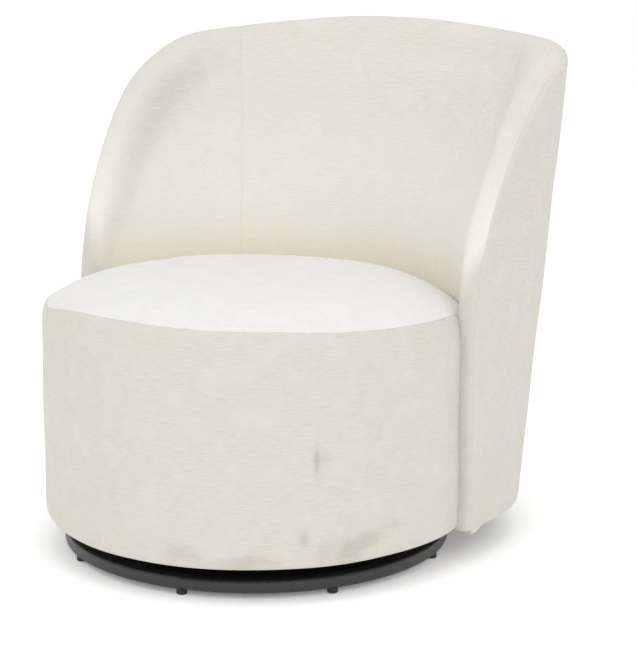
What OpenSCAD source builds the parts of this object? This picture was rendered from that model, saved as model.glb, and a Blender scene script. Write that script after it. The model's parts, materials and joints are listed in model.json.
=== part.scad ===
// Swivel accent chair: a padded drum seat and a wrap-round back that turn on a
// ball-race swivel over a black steel ring base. Units are millimetres, +Z is up,
// the sitter faces -Y, and the origin is on the floor under the middle of the chair.

/* [Overall] */
// Overall width across the back
overall_w = 686; // [660:1:720]
// Overall height to the crest of the back
overall_h = 724; // [690:1:770]
// Reach of the back behind the swivel axis
back_reach = 468; // [455:1:490]
// Inset of the round seat drum from the back's widest side
drum_inset = 36; // [30:1:41]

/* [Back] */
// Thickness of the back at its rounded edge
edge_t = 48; // [44:1:56]
// Depth of the rounded edge
edge_round = 18; // [14:1:22]
// Front edge of the wings behind the swivel axis
wing_y = 30; // [20:1:45]
// Height where the wing's front edge starts to sweep back
sweep_z = 310; // [295:1:320]
// Length of side that stays straight behind the axis at the bottom
corner_low = 140; // [130:1:155]
// Length of side that stays straight behind the axis at the top
corner_top = 295; // [280:1:302]
// Reach of the back behind the swivel axis at the bottom
rear_low = 405; // [395:1:412]
// How much narrower each side stands at the bottom
side_lean = 8; // [4:1:9]
// How much each side draws in at the wing's front edge
front_tuck = 9; // [5:1:12]
// Power of the curve by which the inside of the back leans out
lean_power = 2.2; // [1.8:0.1:2.6]
// How far the crest falls on its way round each rear corner
crest_drop = 12; // [6:1:16]
// Angle from the rear to each seam of the inside back
seam_angle = 34; // [28:1:40]

/* [Seat] */
// Height of the seat's seam at the front
seam_front_z = 384; // [370:1:396]
// Angle by which the seat falls towards the rear
seat_tilt = 3.8; // [2:0.1:5]
// Rise of the seat's crown over its seam
crown_rise = 42; // [36:1:52]
// Height of the seat deck that carries the webbing
deck_z = 296; // [286:1:297]

/* [Upholstery] */
// Thickness of the cover with its fibre wrap
cover_t = 4; // [3:0.5:5]
// Thickness of the cover turned under at the bottom
hem_t = 2; // [1.5:0.5:3]
// Width of the cover turned under at the bottom
hem_w = 26; // [20:1:32]
// Thickness of the foam round the drum
side_foam_t = 7; // [5:0.5:9]
// Gap between soft pieces that lie against each other
soft_gap = 0.3; // [0.2:0.1:0.5]
// Width of a webbing strap
strap_w = 50; // [40:1:55]
// Thickness of a webbing strap
strap_t = 1.5; // [1:0.1:2]
// Thickness of the black dust cover
dust_t = 0.8; // [0.6:0.1:1.2]

/* [Frame] */
// Thickness of the plywood rings and rails
ply_t = 18; // [15:1:20]
// Thickness of the plywood base board
board_t = 15; // [12:1:18]
// Thickness of the bent panels
panel_t = 3; // [2:0.5:3.5]
// Thickness of the outer back board
outer_board_t = 4; // [3:0.5:4.5]
// Depth of the back's posts and rails
rail_d = 24; // [20:1:26]
// Width of the posts
post_w = 60; // [50:1:66]
// Depth of the drum's posts
post_d = 28; // [24:1:34]
// Height of the back's lower bolts over the base board
bolt_rise = 50; // [44:1:60]
// Depth of the back's upper bolts under the drum's top ring
bolt_drop = 40; // [34:1:50]

/* [Base] */
// Outer radius of the floor ring
ring_r = 281; // [272:1:288]
// Width of the ring's tube
ring_w = 20; // [18:1:24]
// Height of the ring's tube
ring_h = 18.5; // [16:0.5:20]
// Wall of the ring's tube
ring_wall = 1.5; // [1.2:0.1:2]
// Radius of the tube's rounded edges
ring_edge = 4; // [3:0.5:5]
// Width of a cross bar
bar_w = 50; // [44:1:56]
// Thickness of a cross bar
bar_t = 5; // [4:0.5:6]
// Number of glides
glide_count = 8; // [6:1:12]
// Radius of a glide
glide_r = 7.5; // [6.5:0.5:8.5]
// Height of a glide
glide_h = 8.5; // [7:0.5:10]
// Turn of the base from the seat as it stands
base_turn = 8.5; // [0:0.5:20]

/* [Swivel] */
// Height of the swivel from plate to plate
swivel_h = 22; // [21:0.5:24]
// Thickness of the swivel plates
plate_t = 2.5; // [2:0.1:3]
// Side of the square swivel plates
plate_side = 190; // [180:1:200]
// Radius of the bolt circle of the swivel plates
bolt_circle_r = 108; // [104:1:112]
// Radius of the swivel's bolts
bolt_r = 4; // [3:0.5:4.5]
// Radius of the ball race
race_r = 74; // [70:1:78]
// Radius of a bearing ball
ball_r = 4; // [3.5:0.25:4.25]
// Number of bearing balls
ball_count = 16; // [12:1:20]
// Radius of the hollow pivot rivet
pivot_r = 10; // [8:0.5:11]

/* [Hidden] */

// Colours of the real materials
fabric_colour = [0.93, 0.92, 0.88];
foam_colour = [0.95, 0.90, 0.70];
wood_colour = [0.80, 0.68, 0.50];
board_colour = [0.58, 0.44, 0.30];
black_colour = [0.06, 0.06, 0.065];
steel_colour = [0.62, 0.63, 0.65];
strap_colour = [0.25, 0.25, 0.27];

round_fn = 96;
small_fn = 48;
eps = 0.01;

// Heights of the stack from the floor
base_top = glide_h + ring_h;
board_z = base_top + swivel_h;
skirt_z = board_z - hem_t;
board_top = board_z + board_t;
race_z = base_top + swivel_h / 2;
post_top = deck_z - ply_t;
foam_z = deck_z + 2 * strap_t;

// The swivel axis stands where the drum and the back share the chair's depth
drum_r = overall_w / 2 - drum_inset;
axis_y = drum_r - (drum_r + back_reach) / 2;

// Fits and clearances
run_gap = 0.05;
bolt_gap = 0.2;
post_gap = 0.3;
nest_gap = 1;
wrap_gap = 0.9;
board_gap = 1.3;
rail_gap = 3;
foam_gap = 2.6;
skin_gap = 0.6;
upright_gap = 1;
upright_drop = 3;

// Radii of the drum's layers, from the cover inwards
drum_foam_r = drum_r - cover_t;
front_panel_r = drum_foam_r - side_foam_t;
frame_r = front_panel_r - panel_t;

// Inside of the wings, where the seat nests
wing_x = overall_w / 2 - front_tuck;
nest_r = norm([wing_x - edge_t, wing_y + edge_round]);
rear_panel_r = nest_r - 1;
rear_frame_r = rear_panel_r - panel_t;

// Layers of the back, measured inwards from its outer face
outer_board_d = cover_t + skin_gap;
rail_out_d = outer_board_d + outer_board_t + rail_gap;
rail_in_d = rail_out_d + rail_d;
inner_board_d = rail_in_d + soft_gap;
back_foam_d = inner_board_d + panel_t + soft_gap;
inside_gap = cover_t + foam_gap;

// Depths under the crest of the rounded edge
roll_top_d = cover_t + wrap_gap;
rail_top_d = edge_round + cover_t;
seam_turn = 25;
edge_square = 3;

// Position of a point between two values
function mix(a, b, k) = a + (b - a) * k;
// Share of the back's height at z, one where the rounded edge begins
function rise(z) = (z - skirt_z) / (overall_h - edge_round - skirt_z);
// Half width of the back at z
function half_w(z) = overall_w / 2 - side_lean * pow(max(0, 1 - rise(z)), 2);
// End of the straight side and reach of the rear at z
function corner_y(z) = mix(corner_low, corner_top, rise(z));
function rear_y(z) = mix(rear_low, back_reach, rise(z));

// A place u on the outer face runs from 0 at the wing's front edge to 1 at the corner
// along the straight side, and from 1 to 2 round the corner to the middle of the rear
function outer_point(u, z) = u < 1
    ? [mix(wing_x, half_w(z), 1 - pow(1 - u, 2)), mix(wing_y, corner_y(z), u), z]
    : [half_w(z) * sin(90 * (2 - u)), mix(corner_y(z), rear_y(z), cos(90 * (2 - u))), z];
// Outward direction of the outer face in plan
function outward(u, z) = let (
    v = u < 1
        ? [corner_y(z) - wing_y, -2 * (1 - u) * (half_w(z) - wing_x), 0]
        : [sin(90 * (2 - u)) / half_w(z), cos(90 * (2 - u)) / (rear_y(z) - corner_y(z)), 0]
) v / norm(v);
// Place of a point that lies on the outer face
function place(p) = let (beyond = p[1] - corner_y(p[2])) beyond < 0
    ? 1 + beyond / (corner_y(p[2]) - wing_y)
    : 2 - atan2(p[0] / half_w(p[2]), beyond / (rear_y(p[2]) - corner_y(p[2]))) / 90;

// The edge follows an ellipse in side view, from the wing's front to the crest
rear_lean = atan2(back_reach - rear_low, overall_h - edge_round - skirt_z);
crest_lift = edge_t / 2 * sin(rear_lean);
rim_a = back_reach - wing_y;
rim_b = overall_h - crest_lift - sweep_z;
// Fall of the crest under the ellipse, which is deepest behind the corner
drop_late = 2.4;
drop_fade = 2.8;
function fall(w) = crest_drop * pow(abs(sin(180 * pow(max(0, w) / 2, drop_late))), drop_fade);
// Height at which the leaning line of a place meets the ellipse
function ellipse_z(u) = let (
    slope = (outer_point(u, overall_h)[1] - outer_point(u, sweep_z)[1]) / rim_b,
    lead = back_reach - outer_point(u, sweep_z)[1],
    p = slope * slope / (rim_a * rim_a) + 1 / (rim_b * rim_b),
    q = lead * slope / (rim_a * rim_a),
    r = lead * lead / (rim_a * rim_a) - 1
) sweep_z + (q + sqrt(max(0, q * q - p * r))) / p;

// Stations w run along the edge of one side: -1 to 0 up the wing's front, 0 to 1 over
// the swept side, and 1 to 2 round the corner to the middle of the rear
sweep_turn = asin((ellipse_z(1) - sweep_z) / rim_b);
corner_slope = (corner_top - corner_low) / (overall_h - edge_round - skirt_z);
function sweep_point(w) = [wing_x,
    back_reach - rim_a * cos(w * sweep_turn) - fall(w) * corner_slope * w,
    sweep_z + rim_b * sin(w * sweep_turn) - fall(w)];
function rim_z(u) = ellipse_z(u) - fall(u);
function edge_place(w) = w <= 0 ? 0 : w < 1 ? place(sweep_point(w)) : w;
function rim_point(w) = w < 0
    ? outer_point(0, mix(sweep_z, skirt_z, -w))
    : outer_point(edge_place(w), w < 1 ? sweep_point(w)[2] : rim_z(w));
// Outward direction of the outer face in space, and direction from it up to the crest
tiny = 0.01;
function side_out(w) = let (
    u = edge_place(w),
    z = rim_point(w)[2],
    lean = outer_point(u, z + 1) - outer_point(u, z - 1),
    v = cross(outward(u, z), [0, 0, 1]),
    n = cross(v, lean)
) n[0] + n[1] < 0 ? -n / norm(n) : n / norm(n);
function crest_dir(w) = w <= 0
    ? let (v = [-side_out(w)[1], side_out(w)[0], 0]) -v / norm(v)
    : let (
        last = w > 2 - tiny,
        tangent = last ? [-1, 0, 0] : rim_point(w + tiny) - rim_point(w - tiny),
        up = cross(side_out(w), tangent)
    ) up / norm(up);

// Point of a section through the edge: across is the distance in from the outer face
// and below is the distance under the crest
function edge_point(w, across, below) =
    rim_point(w) - side_out(w) * across - crest_dir(w) * below;
// Points of the rounded edge, inset from the cover's face
function power_sin(a) = pow(abs(sin(a)), 2 / edge_square);
function power_cos(a) = sign(cos(a)) * pow(abs(cos(a)), 2 / edge_square);
function round_point(w, turn, inset) = edge_point(
    w,
    edge_t / 2 - (edge_t / 2 - inset) * power_cos(turn),
    edge_round - (edge_round - inset) * power_sin(turn)
);

// The inside face runs out from the seat's nest to the edge along each bearing, and a
// table gives the radius and the height of the rounded edge's foot on each bearing
function foot_point(w) = edge_point(w, edge_t, edge_round);
function bearing(p) = atan2(p[0], p[1]);
foot_stations = [for (i = [0 : 40]) 2 - i / 20];
foot_radii = [for (w = foot_stations) let (p = foot_point(w)) [bearing(p), norm([p[0], p[1]])]];
foot_heights = [for (w = foot_stations) let (p = foot_point(w)) [bearing(p), p[2]]];
front_bearing = bearing(foot_point(0));
nest_z = seam_front_z - tan(seat_tilt) * drum_r;
function inside_radius(b, z) = let (
    reach = lookup(b, foot_radii) - nest_r,
    share = (z - nest_z) / max(20, lookup(b, foot_heights) - nest_z)
) nest_r + reach * pow(min(1, max(0, share)), lean_power);
function inside_point(b, z, inset) = let (r = inside_radius(b, z) + inset)
    [r * sin(b), r * cos(b), z];

// A closed solid from rings of points, each ring a loop of the same length
module rings(loops) {
    n = len(loops[0]);
    m = len(loops);
    quads = [for (i = [0 : m - 2]) for (j = [0 : n - 1])
        [i * n + j, i * n + (j + 1) % n, (i + 1) * n + (j + 1) % n, (i + 1) * n + j]];
    sides = [for (f = quads) each [[f[0], f[1], f[2]], [f[0], f[2], f[3]]]];
    first = [for (j = [1 : n - 2]) [0, j + 1, j]];
    last = [for (j = [1 : n - 2]) [0, j, j + 1] + (m - 1) * n * [1, 1, 1]];
    polyhedron([for (l = loops) each l], concat(sides, first, last), convexity = 8);
}

// A closed sheet between two grids of points of the same size
module sheet(face, rear) {
    m = len(face);
    n = len(face[0]);
    o = m * n;
    function at(i, j) = i * n + j;
    front = [for (i = [0 : m - 2]) for (j = [0 : n - 2]) each [
        [at(i, j), at(i, j + 1), at(i + 1, j + 1)], [at(i, j), at(i + 1, j + 1), at(i + 1, j)]]];
    back = [for (f = front) [f[2] + o, f[1] + o, f[0] + o]];
    function wall(a, b) = [[a, a + o, b], [b, a + o, b + o]];
    edges = concat(
        [for (j = [0 : n - 2]) each wall(at(0, j), at(0, j + 1))],
        [for (j = [0 : n - 2]) each wall(at(m - 1, j + 1), at(m - 1, j))],
        [for (i = [0 : m - 2]) each wall(at(i + 1, 0), at(i, 0))],
        [for (i = [0 : m - 2]) each wall(at(i, n - 1), at(i + 1, n - 1))]
    );
    polyhedron(concat([for (r = face) each r], [for (r = rear) each r]),
        concat(front, back, edges), convexity = 8);
}

module at_axis() {
    translate([0, axis_y, 0]) children();
}

module at_base() {
    at_axis() rotate(base_turn) children();
}

// Half plane behind a line across the chair, for cutting plan shapes
module behind(y) {
    translate([-overall_w, y]) square([2 * overall_w, overall_w]);
}

module ahead_of(y) {
    translate([-overall_w, y - overall_w]) square([2 * overall_w, overall_w]);
}

// Plan of the seat: a full front round and a narrower rear that nests in the back
module seat_plan(front_r, rear_r) {
    intersection() {
        circle(front_r, $fn = round_fn);
        ahead_of(wing_y - soft_gap);
    }
    intersection() {
        circle(rear_r, $fn = round_fn);
        behind(0);
    }
}

// Plan of the back's outer face at a height, drawn in by a distance
rear_stations = [1.04, 1.08, 1.13, 1.19, 1.26, 1.34, 1.42, 1.5, 1.58, 1.67, 1.75, 1.83, 1.92, 2];
plan_places = concat([0, 0.33, 0.67, 1], rear_stations);
function plan_side(z, inset) = [for (u = plan_places)
    let (p = outer_point(u, z) - outward(u, z) * inset) [p[0], p[1]]];
function mirrored(side) = [for (i = [len(side) - 2 : -1 : 0]) [-side[i][0], side[i][1]]];
module back_plan(z, inset, hole_r, front) {
    side = plan_side(z, inset);
    difference() {
        polygon(concat(side, mirrored(side)));
        circle(hole_r, $fn = round_fn);
        ahead_of(front);
    }
}

// Bearings of the posts that join the drum and the back
post_bearings = [-56, 0, 56];
bolt_heights = [board_top + bolt_rise, post_top - bolt_drop];
module on_bearings() {
    for (b = post_bearings)
        rotate(90 - b) children();
}

// Floor ring, a bent tube with a hole for each glide's plug
tube_r = ring_r - ring_w / 2;
plug_r = 4;
plug_gap = 0.1;
module tube_section(inset, edge) {
    translate([ring_r - ring_w + inset + edge, glide_h + inset + edge])
        minkowski_free_round(ring_w - 2 * (inset + edge), ring_h - 2 * (inset + edge), edge);
}
module minkowski_free_round(w, h, r) {
    translate([-r, 0]) square([w + 2 * r, h]);
    translate([0, -r]) square([w, h + 2 * r]);
    for (x = [0, w]) for (y = [0, h])
        translate([x, y]) circle(r, $fn = small_fn);
}
module base_ring() {
    color(black_colour) at_base() difference() {
        rotate_extrude($fn = round_fn) difference() {
            tube_section(0, ring_edge);
            tube_section(ring_wall, ring_edge - ring_wall);
        }
        for (i = [0 : glide_count - 1])
            rotate(i * 360 / glide_count) translate([tube_r, 0, glide_h - eps])
                cylinder(r = plug_r + plug_gap, h = ring_wall + 2 * eps, $fn = small_fn);
    }
}

// Flat cross bars, welded inside the ring halfway between the glides
bar_turn = 180 / glide_count;
bar_hole_r = 18;
bar_reach = ring_r - ring_w;
module bar_slab(from, to) {
    intersection() {
        translate([from, -bar_w / 2, base_top - bar_t]) cube([to - from, bar_w, bar_t]);
        cylinder(r = bar_reach, h = base_top, $fn = round_fn);
    }
}
module bar_bolt_hole() {
    translate([bolt_circle_r, 0, base_top - bar_t - eps])
        cylinder(r = bolt_r + bolt_gap, h = bar_t + 2 * eps, $fn = small_fn);
}
module cross_bar_long() {
    color(black_colour) at_base() rotate(-bar_turn) difference() {
        bar_slab(-ring_r, ring_r);
        bar_bolt_hole();
        rotate(180) bar_bolt_hole();
        cylinder(r = bar_hole_r, h = base_top + eps, $fn = small_fn);
    }
}
module short_bar(turn) {
    color(black_colour) at_base() rotate(turn - bar_turn) difference() {
        bar_slab(bar_w / 2, ring_r);
        bar_bolt_hole();
    }
}
module cross_bar_left() {
    short_bar(90);
}
module cross_bar_right() {
    short_bar(-90);
}

// Black plastic glides with a plug that snaps into the tube
glide_edge = 1.2;
plug_h = 5;
module glide() {
    rotate_extrude($fn = small_fn) polygon([
        [0, 0], [glide_r - glide_edge, 0], [glide_r, glide_edge], [glide_r, glide_h],
        [plug_r, glide_h], [plug_r, glide_h + ring_wall], [plug_r, glide_h + plug_h - 1],
        [plug_r - 1, glide_h + plug_h], [0, glide_h + plug_h]
    ]);
}
module glides() {
    color(black_colour) at_base()
        for (i = [0 : glide_count - 1])
            rotate(i * 360 / glide_count) translate([tube_r, 0, 0]) glide();
}

// Swivel plates: square steel plates with a pressed ring that holds half the race
plate_corner = 14;
ridge_land = 8;
ridge_w = 2 * (ball_r + ridge_land);
ridge_gap = 3;
ridge_h = swivel_h / 2 - ridge_gap / 2;
groove_r = ball_r + run_gap;
module plate_outline() {
    s = plate_side / 2 - plate_corner;
    square([plate_side, 2 * s], center = true);
    square([2 * s, plate_side], center = true);
    for (x = [-s, s]) for (y = [-s, s])
        translate([x, y]) circle(plate_corner, $fn = small_fn);
}
// The plate lies on z 0 and its race opens upwards
module swivel_plate(centre_r) {
    difference() {
        union() {
            rotate(45) linear_extrude(plate_t) plate_outline();
            rotate_extrude($fn = round_fn) polygon([
                [race_r - ridge_w / 2, 0], [race_r + ridge_w / 2, 0],
                [race_r + ridge_w / 2 - 2, ridge_h], [race_r - ridge_w / 2 + 2, ridge_h]
            ]);
        }
        rotate_extrude($fn = round_fn) polygon([
            [race_r - ridge_w / 2 + 3, -eps], [race_r + ridge_w / 2 - 3, -eps],
            [race_r + ridge_w / 2 - 4, swivel_h / 2 - groove_r - plate_t],
            [race_r - ridge_w / 2 + 4, swivel_h / 2 - groove_r - plate_t]
        ]);
        rotate_extrude($fn = round_fn)
            translate([race_r, swivel_h / 2]) circle(groove_r, $fn = small_fn);
        translate([0, 0, -eps]) cylinder(r = centre_r, h = plate_t + 2 * eps, $fn = small_fn);
        for (i = [0 : 3])
            rotate(i * 90) translate([bolt_circle_r, 0, -eps])
                cylinder(r = bolt_r + bolt_gap, h = plate_t + 2 * eps, $fn = small_fn);
    }
}
module swivel_lower_plate() {
    color(steel_colour) at_base() rotate(-bar_turn) translate([0, 0, base_top])
        swivel_plate(pivot_r);
}
module swivel_upper_plate() {
    color(steel_colour) at_axis() translate([0, 0, board_z]) mirror([0, 0, 1])
        swivel_plate(pivot_r + run_gap);
}

// Bolts of the swivel plates
head_r = 7;
head_h = 3.5;
nut_r = 7.5;
nut_h = 6;
bolt_tail = 9;
module bolt(reach) {
    translate([0, 0, -head_h]) cylinder(r = head_r, h = head_h, $fn = small_fn);
    cylinder(r = bolt_r, h = reach, $fn = small_fn);
}
module nut() {
    difference() {
        cylinder(r = nut_r, h = nut_h, $fn = 6);
        translate([0, 0, -eps]) cylinder(r = bolt_r, h = nut_h + 2 * eps, $fn = small_fn);
    }
}
module base_bolts() {
    color(steel_colour) at_base() rotate(-bar_turn)
        for (i = [0 : 3])
            rotate(i * 90) translate([bolt_circle_r, 0, base_top + plate_t])
                mirror([0, 0, 1]) bolt(plate_t + bar_t + bolt_tail);
}
module base_nuts() {
    color(steel_colour) at_base() rotate(-bar_turn)
        for (i = [0 : 3])
            rotate(i * 90) translate([bolt_circle_r, 0, base_top - bar_t - nut_h]) nut();
}
tee_barrel_r = 5.2;
tee_flange_r = 10;
tee_flange_t = 1.5;
tee_h = 11;
module seat_bolts() {
    color(steel_colour) at_axis()
        for (i = [0 : 3])
            rotate(i * 90) translate([bolt_circle_r, 0, board_z - plate_t])
                bolt(plate_t + board_t + tee_flange_t);
}
module tee_nuts() {
    color(steel_colour) at_axis()
        for (i = [0 : 3])
            rotate(i * 90) translate([bolt_circle_r, 0, board_top]) difference() {
                union() {
                    cylinder(r = tee_flange_r, h = tee_flange_t, $fn = small_fn);
                    translate([0, 0, -tee_h]) cylinder(r = tee_barrel_r, h = tee_h, $fn = small_fn);
                }
                translate([0, 0, -tee_h - eps])
                    cylinder(r = bolt_r, h = tee_h + tee_flange_t + 2 * eps, $fn = small_fn);
            }
}

// Hollow rivet that holds the two plates together and lets the upper one turn
rivet_flange_r = pivot_r + 5;
rivet_flange_t = 2;
rivet_gap = 0.3;
rivet_wall = 2.5;
module pivot_rivet() {
    color(steel_colour) at_axis() rotate_extrude($fn = small_fn) polygon([
        [pivot_r - rivet_wall, base_top - rivet_flange_t], [rivet_flange_r, base_top - rivet_flange_t],
        [rivet_flange_r, base_top], [pivot_r, base_top],
        [pivot_r, board_z + rivet_gap], [rivet_flange_r, board_z + rivet_gap],
        [rivet_flange_r, board_z + rivet_gap + rivet_flange_t],
        [pivot_r - rivet_wall, board_z + rivet_gap + rivet_flange_t]
    ]);
}

// Cage and balls of the race
cage_t = 1.5;
cage_gap = 0.15;
cage_w = ridge_w - 4;
module ball_places() {
    for (i = [0 : ball_count - 1])
        rotate(i * 360 / ball_count) translate([race_r, 0, race_z]) children();
}
module ball_cage() {
    color(steel_colour) at_axis() difference() {
        translate([0, 0, race_z - cage_t / 2]) linear_extrude(cage_t) difference() {
            circle(race_r + cage_w / 2, $fn = round_fn);
            circle(race_r - cage_w / 2, $fn = round_fn);
        }
        ball_places() translate([0, 0, -cage_t])
            cylinder(r = ball_r + cage_gap, h = 2 * cage_t, $fn = small_fn);
    }
}
module bearing_balls() {
    color([0.8, 0.8, 0.82]) at_axis() ball_places() sphere(ball_r, $fn = small_fn);
}

// Plywood base board of the drum, bored for the tee nuts and the rivet's head
rivet_hole_r = rivet_flange_r + 8;
module drum_base_board() {
    color(wood_colour) at_axis() difference() {
        translate([0, 0, board_z]) linear_extrude(board_t) seat_plan(frame_r, rear_frame_r);
        translate([0, 0, board_z - eps])
            cylinder(r = rivet_hole_r, h = board_t + 2 * eps, $fn = small_fn);
        for (i = [0 : 3])
            rotate(i * 90) translate([bolt_circle_r, 0, board_z - eps])
                cylinder(r = tee_barrel_r, h = board_t + 2 * eps, $fn = small_fn);
    }
}

// Softwood posts between the base board and the top ring
front_post_bearings = [100, 140, 180, 220, 260];
rear_post_r = sqrt(rear_frame_r * rear_frame_r - post_w * post_w / 4) - post_gap;
front_post_r = sqrt(frame_r * frame_r - post_w * post_w / 4) - post_gap;
module drum_post(reach) {
    translate([reach - post_d, -post_w / 2, board_top]) cube([post_d, post_w, post_top - board_top]);
}
module drum_posts() {
    color(wood_colour) at_axis() {
        for (b = front_post_bearings)
            rotate(90 - b) drum_post(front_post_r);
        on_bearings() difference() {
            drum_post(rear_post_r);
            back_bolt_holes();
        }
    }
}
top_ring_w = 70;
module drum_top_ring() {
    color(wood_colour) at_axis() translate([0, 0, post_top]) linear_extrude(ply_t) difference() {
        seat_plan(frame_r, rear_frame_r);
        circle(rear_frame_r - top_ring_w, $fn = round_fn);
    }
}

// Bent panels round the drum
module drum_front_panel() {
    color(board_colour) at_axis() translate([0, 0, board_z]) linear_extrude(deck_z - board_z)
        intersection() {
            difference() {
                circle(front_panel_r, $fn = round_fn);
                circle(frame_r, $fn = round_fn);
            }
            ahead_of(wing_y - soft_gap);
        }
}
module drum_rear_panel() {
    color(board_colour) at_axis() difference() {
        translate([0, 0, board_z]) linear_extrude(deck_z - board_z) intersection() {
            difference() {
                circle(rear_panel_r, $fn = round_fn);
                circle(rear_frame_r, $fn = round_fn);
            }
            behind(wing_y);
        }
        on_bearings() back_bolt_holes();
    }
}

// Webbing straps, one layer on the other, stapled on the top ring
strap_pitch = 95;
strap_rows = 2;
strap_seat = 30;
module strap(offset_y, z) {
    half = sqrt(pow(rear_frame_r - strap_seat, 2) - pow(abs(offset_y) + strap_w / 2, 2));
    translate([-half, offset_y - strap_w / 2, z]) cube([2 * half, strap_w, strap_t]);
}
module webbing_lengthwise() {
    color(strap_colour) at_axis() rotate(90)
        for (i = [-strap_rows : strap_rows]) strap(i * strap_pitch, deck_z);
}
module webbing_crosswise() {
    color(strap_colour) at_axis()
        for (i = [-strap_rows : strap_rows]) strap(i * strap_pitch, deck_z + strap_t);
}

// The seat is a crowned round pad, its seam on a plane that falls to the rear
function seam_z(y) = seam_front_z - tan(seat_tilt) * (y + drum_r);
step_bearing = acos((wing_y - soft_gap) / drum_r);
seat_bearings = concat(
    [for (i = [0 : 8]) i * (acos((wing_y - soft_gap) / (nest_r - 1)) - 1) / 8],
    [for (i = [0 : 10]) mix(step_bearing, 180, i / 10)]
);
seat_round = concat(seat_bearings, [for (i = [len(seat_bearings) - 2 : -1 : 1]) -seat_bearings[i]]);
function seat_edge(b, front_r, rear_r) = abs(b) < step_bearing - eps ? rear_r : front_r;
crown_power = 5;
crown_fall = 1.08;
function crown(share) = crown_rise * pow(max(0, 1 - pow(share, crown_power)), crown_fall);
function seat_ring(share, front_r, rear_r, drop) = [for (b = seat_round) let (
    r = share * seat_edge(b, front_r, rear_r),
    y = r * cos(b)
) [r * sin(b), y, seam_z(y) + crown(share) - drop]];
crown_shares = [1, 0.98, 0.95, 0.9, 0.83, 0.73, 0.55, 0.3, 0.06];
seat_front_r = drum_r - 1;
seat_rear_r = nest_r - nest_gap;
module seat_foam() {
    front_r = seat_front_r - cover_t - soft_gap;
    rear_r = seat_rear_r - cover_t - soft_gap;
    base = [for (b = seat_round) let (r = seat_edge(b, front_r, rear_r)) [r * sin(b), r * cos(b), foam_z]];
    color(foam_colour) at_axis() rings(concat(
        [base], [for (s = crown_shares) seat_ring(s, front_r, rear_r, cover_t + soft_gap)]
    ));
}
module seat_cover() {
    outside = [for (s = crown_shares) seat_ring(s, seat_front_r, seat_rear_r, 0)];
    inside = [for (i = [len(crown_shares) - 1 : -1 : 0])
        seat_ring(crown_shares[i], seat_front_r - cover_t, seat_rear_r - cover_t, cover_t)];
    color(fabric_colour) at_axis() difference() {
        rings(outside);
        rings([for (i = [len(inside) - 1 : -1 : 0]) [for (p = inside[i]) p - [0, 0, i == len(inside) - 1 ? eps : 0]]]);
    }
}

// Foam and cover round the front of the drum, cut off under the seat's seam
module below_seam(gap) {
    translate([0, -drum_r, seam_front_z - gap]) rotate([-seat_tilt, 0, 0])
        translate([-overall_w, -overall_w, 0]) cube([2 * overall_w, 3 * overall_w, overall_h]);
}
module drum_foam() {
    color(foam_colour) at_axis() translate([0, 0, board_z]) linear_extrude(deck_z - board_z)
        intersection() {
            difference() {
                circle(drum_foam_r - soft_gap, $fn = round_fn);
                circle(front_panel_r + eps, $fn = round_fn);
            }
            ahead_of(wing_y - soft_gap);
        }
}
module drum_cover() {
    hem_edge = 5;
    color(fabric_colour) at_axis() difference() {
        rotate_extrude($fn = round_fn) polygon(concat(
            [[drum_r - hem_w, skirt_z], [drum_r - hem_edge, skirt_z]],
            [for (a = [-60 : 30 : 0]) [drum_r - hem_edge + hem_edge * cos(a), skirt_z + hem_edge + hem_edge * sin(a)]],
            [[drum_r, seam_front_z + 10], [drum_foam_r, seam_front_z + 10],
             [drum_foam_r, board_z], [drum_r - hem_w, board_z]]
        ));
        below_seam(soft_gap);
        translate([0, 0, skirt_z - eps]) linear_extrude(overall_h) behind(wing_y - soft_gap);
    }
}

// Black dust cover stretched under the drum, open round the swivel
dust_hole_r = plate_side / 2 * sqrt(2) + 4;
module dust_cover() {
    color(black_colour) at_axis() translate([0, 0, board_z - dust_t]) linear_extrude(dust_t)
        difference() {
            seat_plan(drum_r - hem_w - soft_gap, rear_frame_r - 6);
            circle(dust_hole_r, $fn = round_fn);
        }
}

// Plywood rails of the back at the bottom and at the seat deck
rail_front = edge_point(0, rail_in_d, rail_top_d + ply_t)[1] + soft_gap;
module back_bottom_rail() {
    color(wood_colour) at_axis() translate([0, 0, board_z]) linear_extrude(ply_t)
        back_plan(board_z, rail_out_d, nest_r, rail_front);
}
module back_middle_rail() {
    color(wood_colour) at_axis() translate([0, 0, deck_z - ply_t]) linear_extrude(ply_t)
        back_plan(deck_z - ply_t, rail_out_d, nest_r, rail_front);
}

// Posts of the back that take the bolts from the drum
back_post_z = board_z + ply_t;
module back_posts() {
    color(wood_colour) at_axis() on_bearings() difference() {
        translate([nest_r, -post_w / 2, back_post_z])
            cube([post_d, post_w, deck_z - ply_t - back_post_z]);
        back_bolt_holes();
    }
}
bolt_from = rear_post_r - post_d;
bolt_to = nest_r + post_d;
washer_t = 2;
washer_r = 11;
module back_bolt_holes() {
    for (z = bolt_heights)
        translate([bolt_from - 1, 0, z]) rotate([0, 90, 0])
            cylinder(r = bolt_r + bolt_gap, h = bolt_to - bolt_from + 2, $fn = small_fn);
}
module back_bolt_places() {
    on_bearings()
        for (z = bolt_heights)
            translate([0, 0, z]) rotate([0, 90, 0]) children();
}
module back_bolts() {
    color(steel_colour) at_axis() back_bolt_places() translate([0, 0, bolt_from - washer_t])
        bolt(bolt_to - bolt_from + 2 * washer_t + nut_h);
}
module back_washers() {
    color(steel_colour) at_axis() back_bolt_places()
        for (x = [bolt_from - washer_t, bolt_to])
            translate([0, 0, x]) difference() {
                cylinder(r = washer_r, h = washer_t, $fn = small_fn);
                translate([0, 0, -eps]) cylinder(r = bolt_r, h = washer_t + 2 * eps, $fn = small_fn);
            }
}
module back_nuts() {
    color(steel_colour) at_axis() back_bolt_places() translate([0, 0, bolt_to + washer_t]) nut();
}

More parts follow.
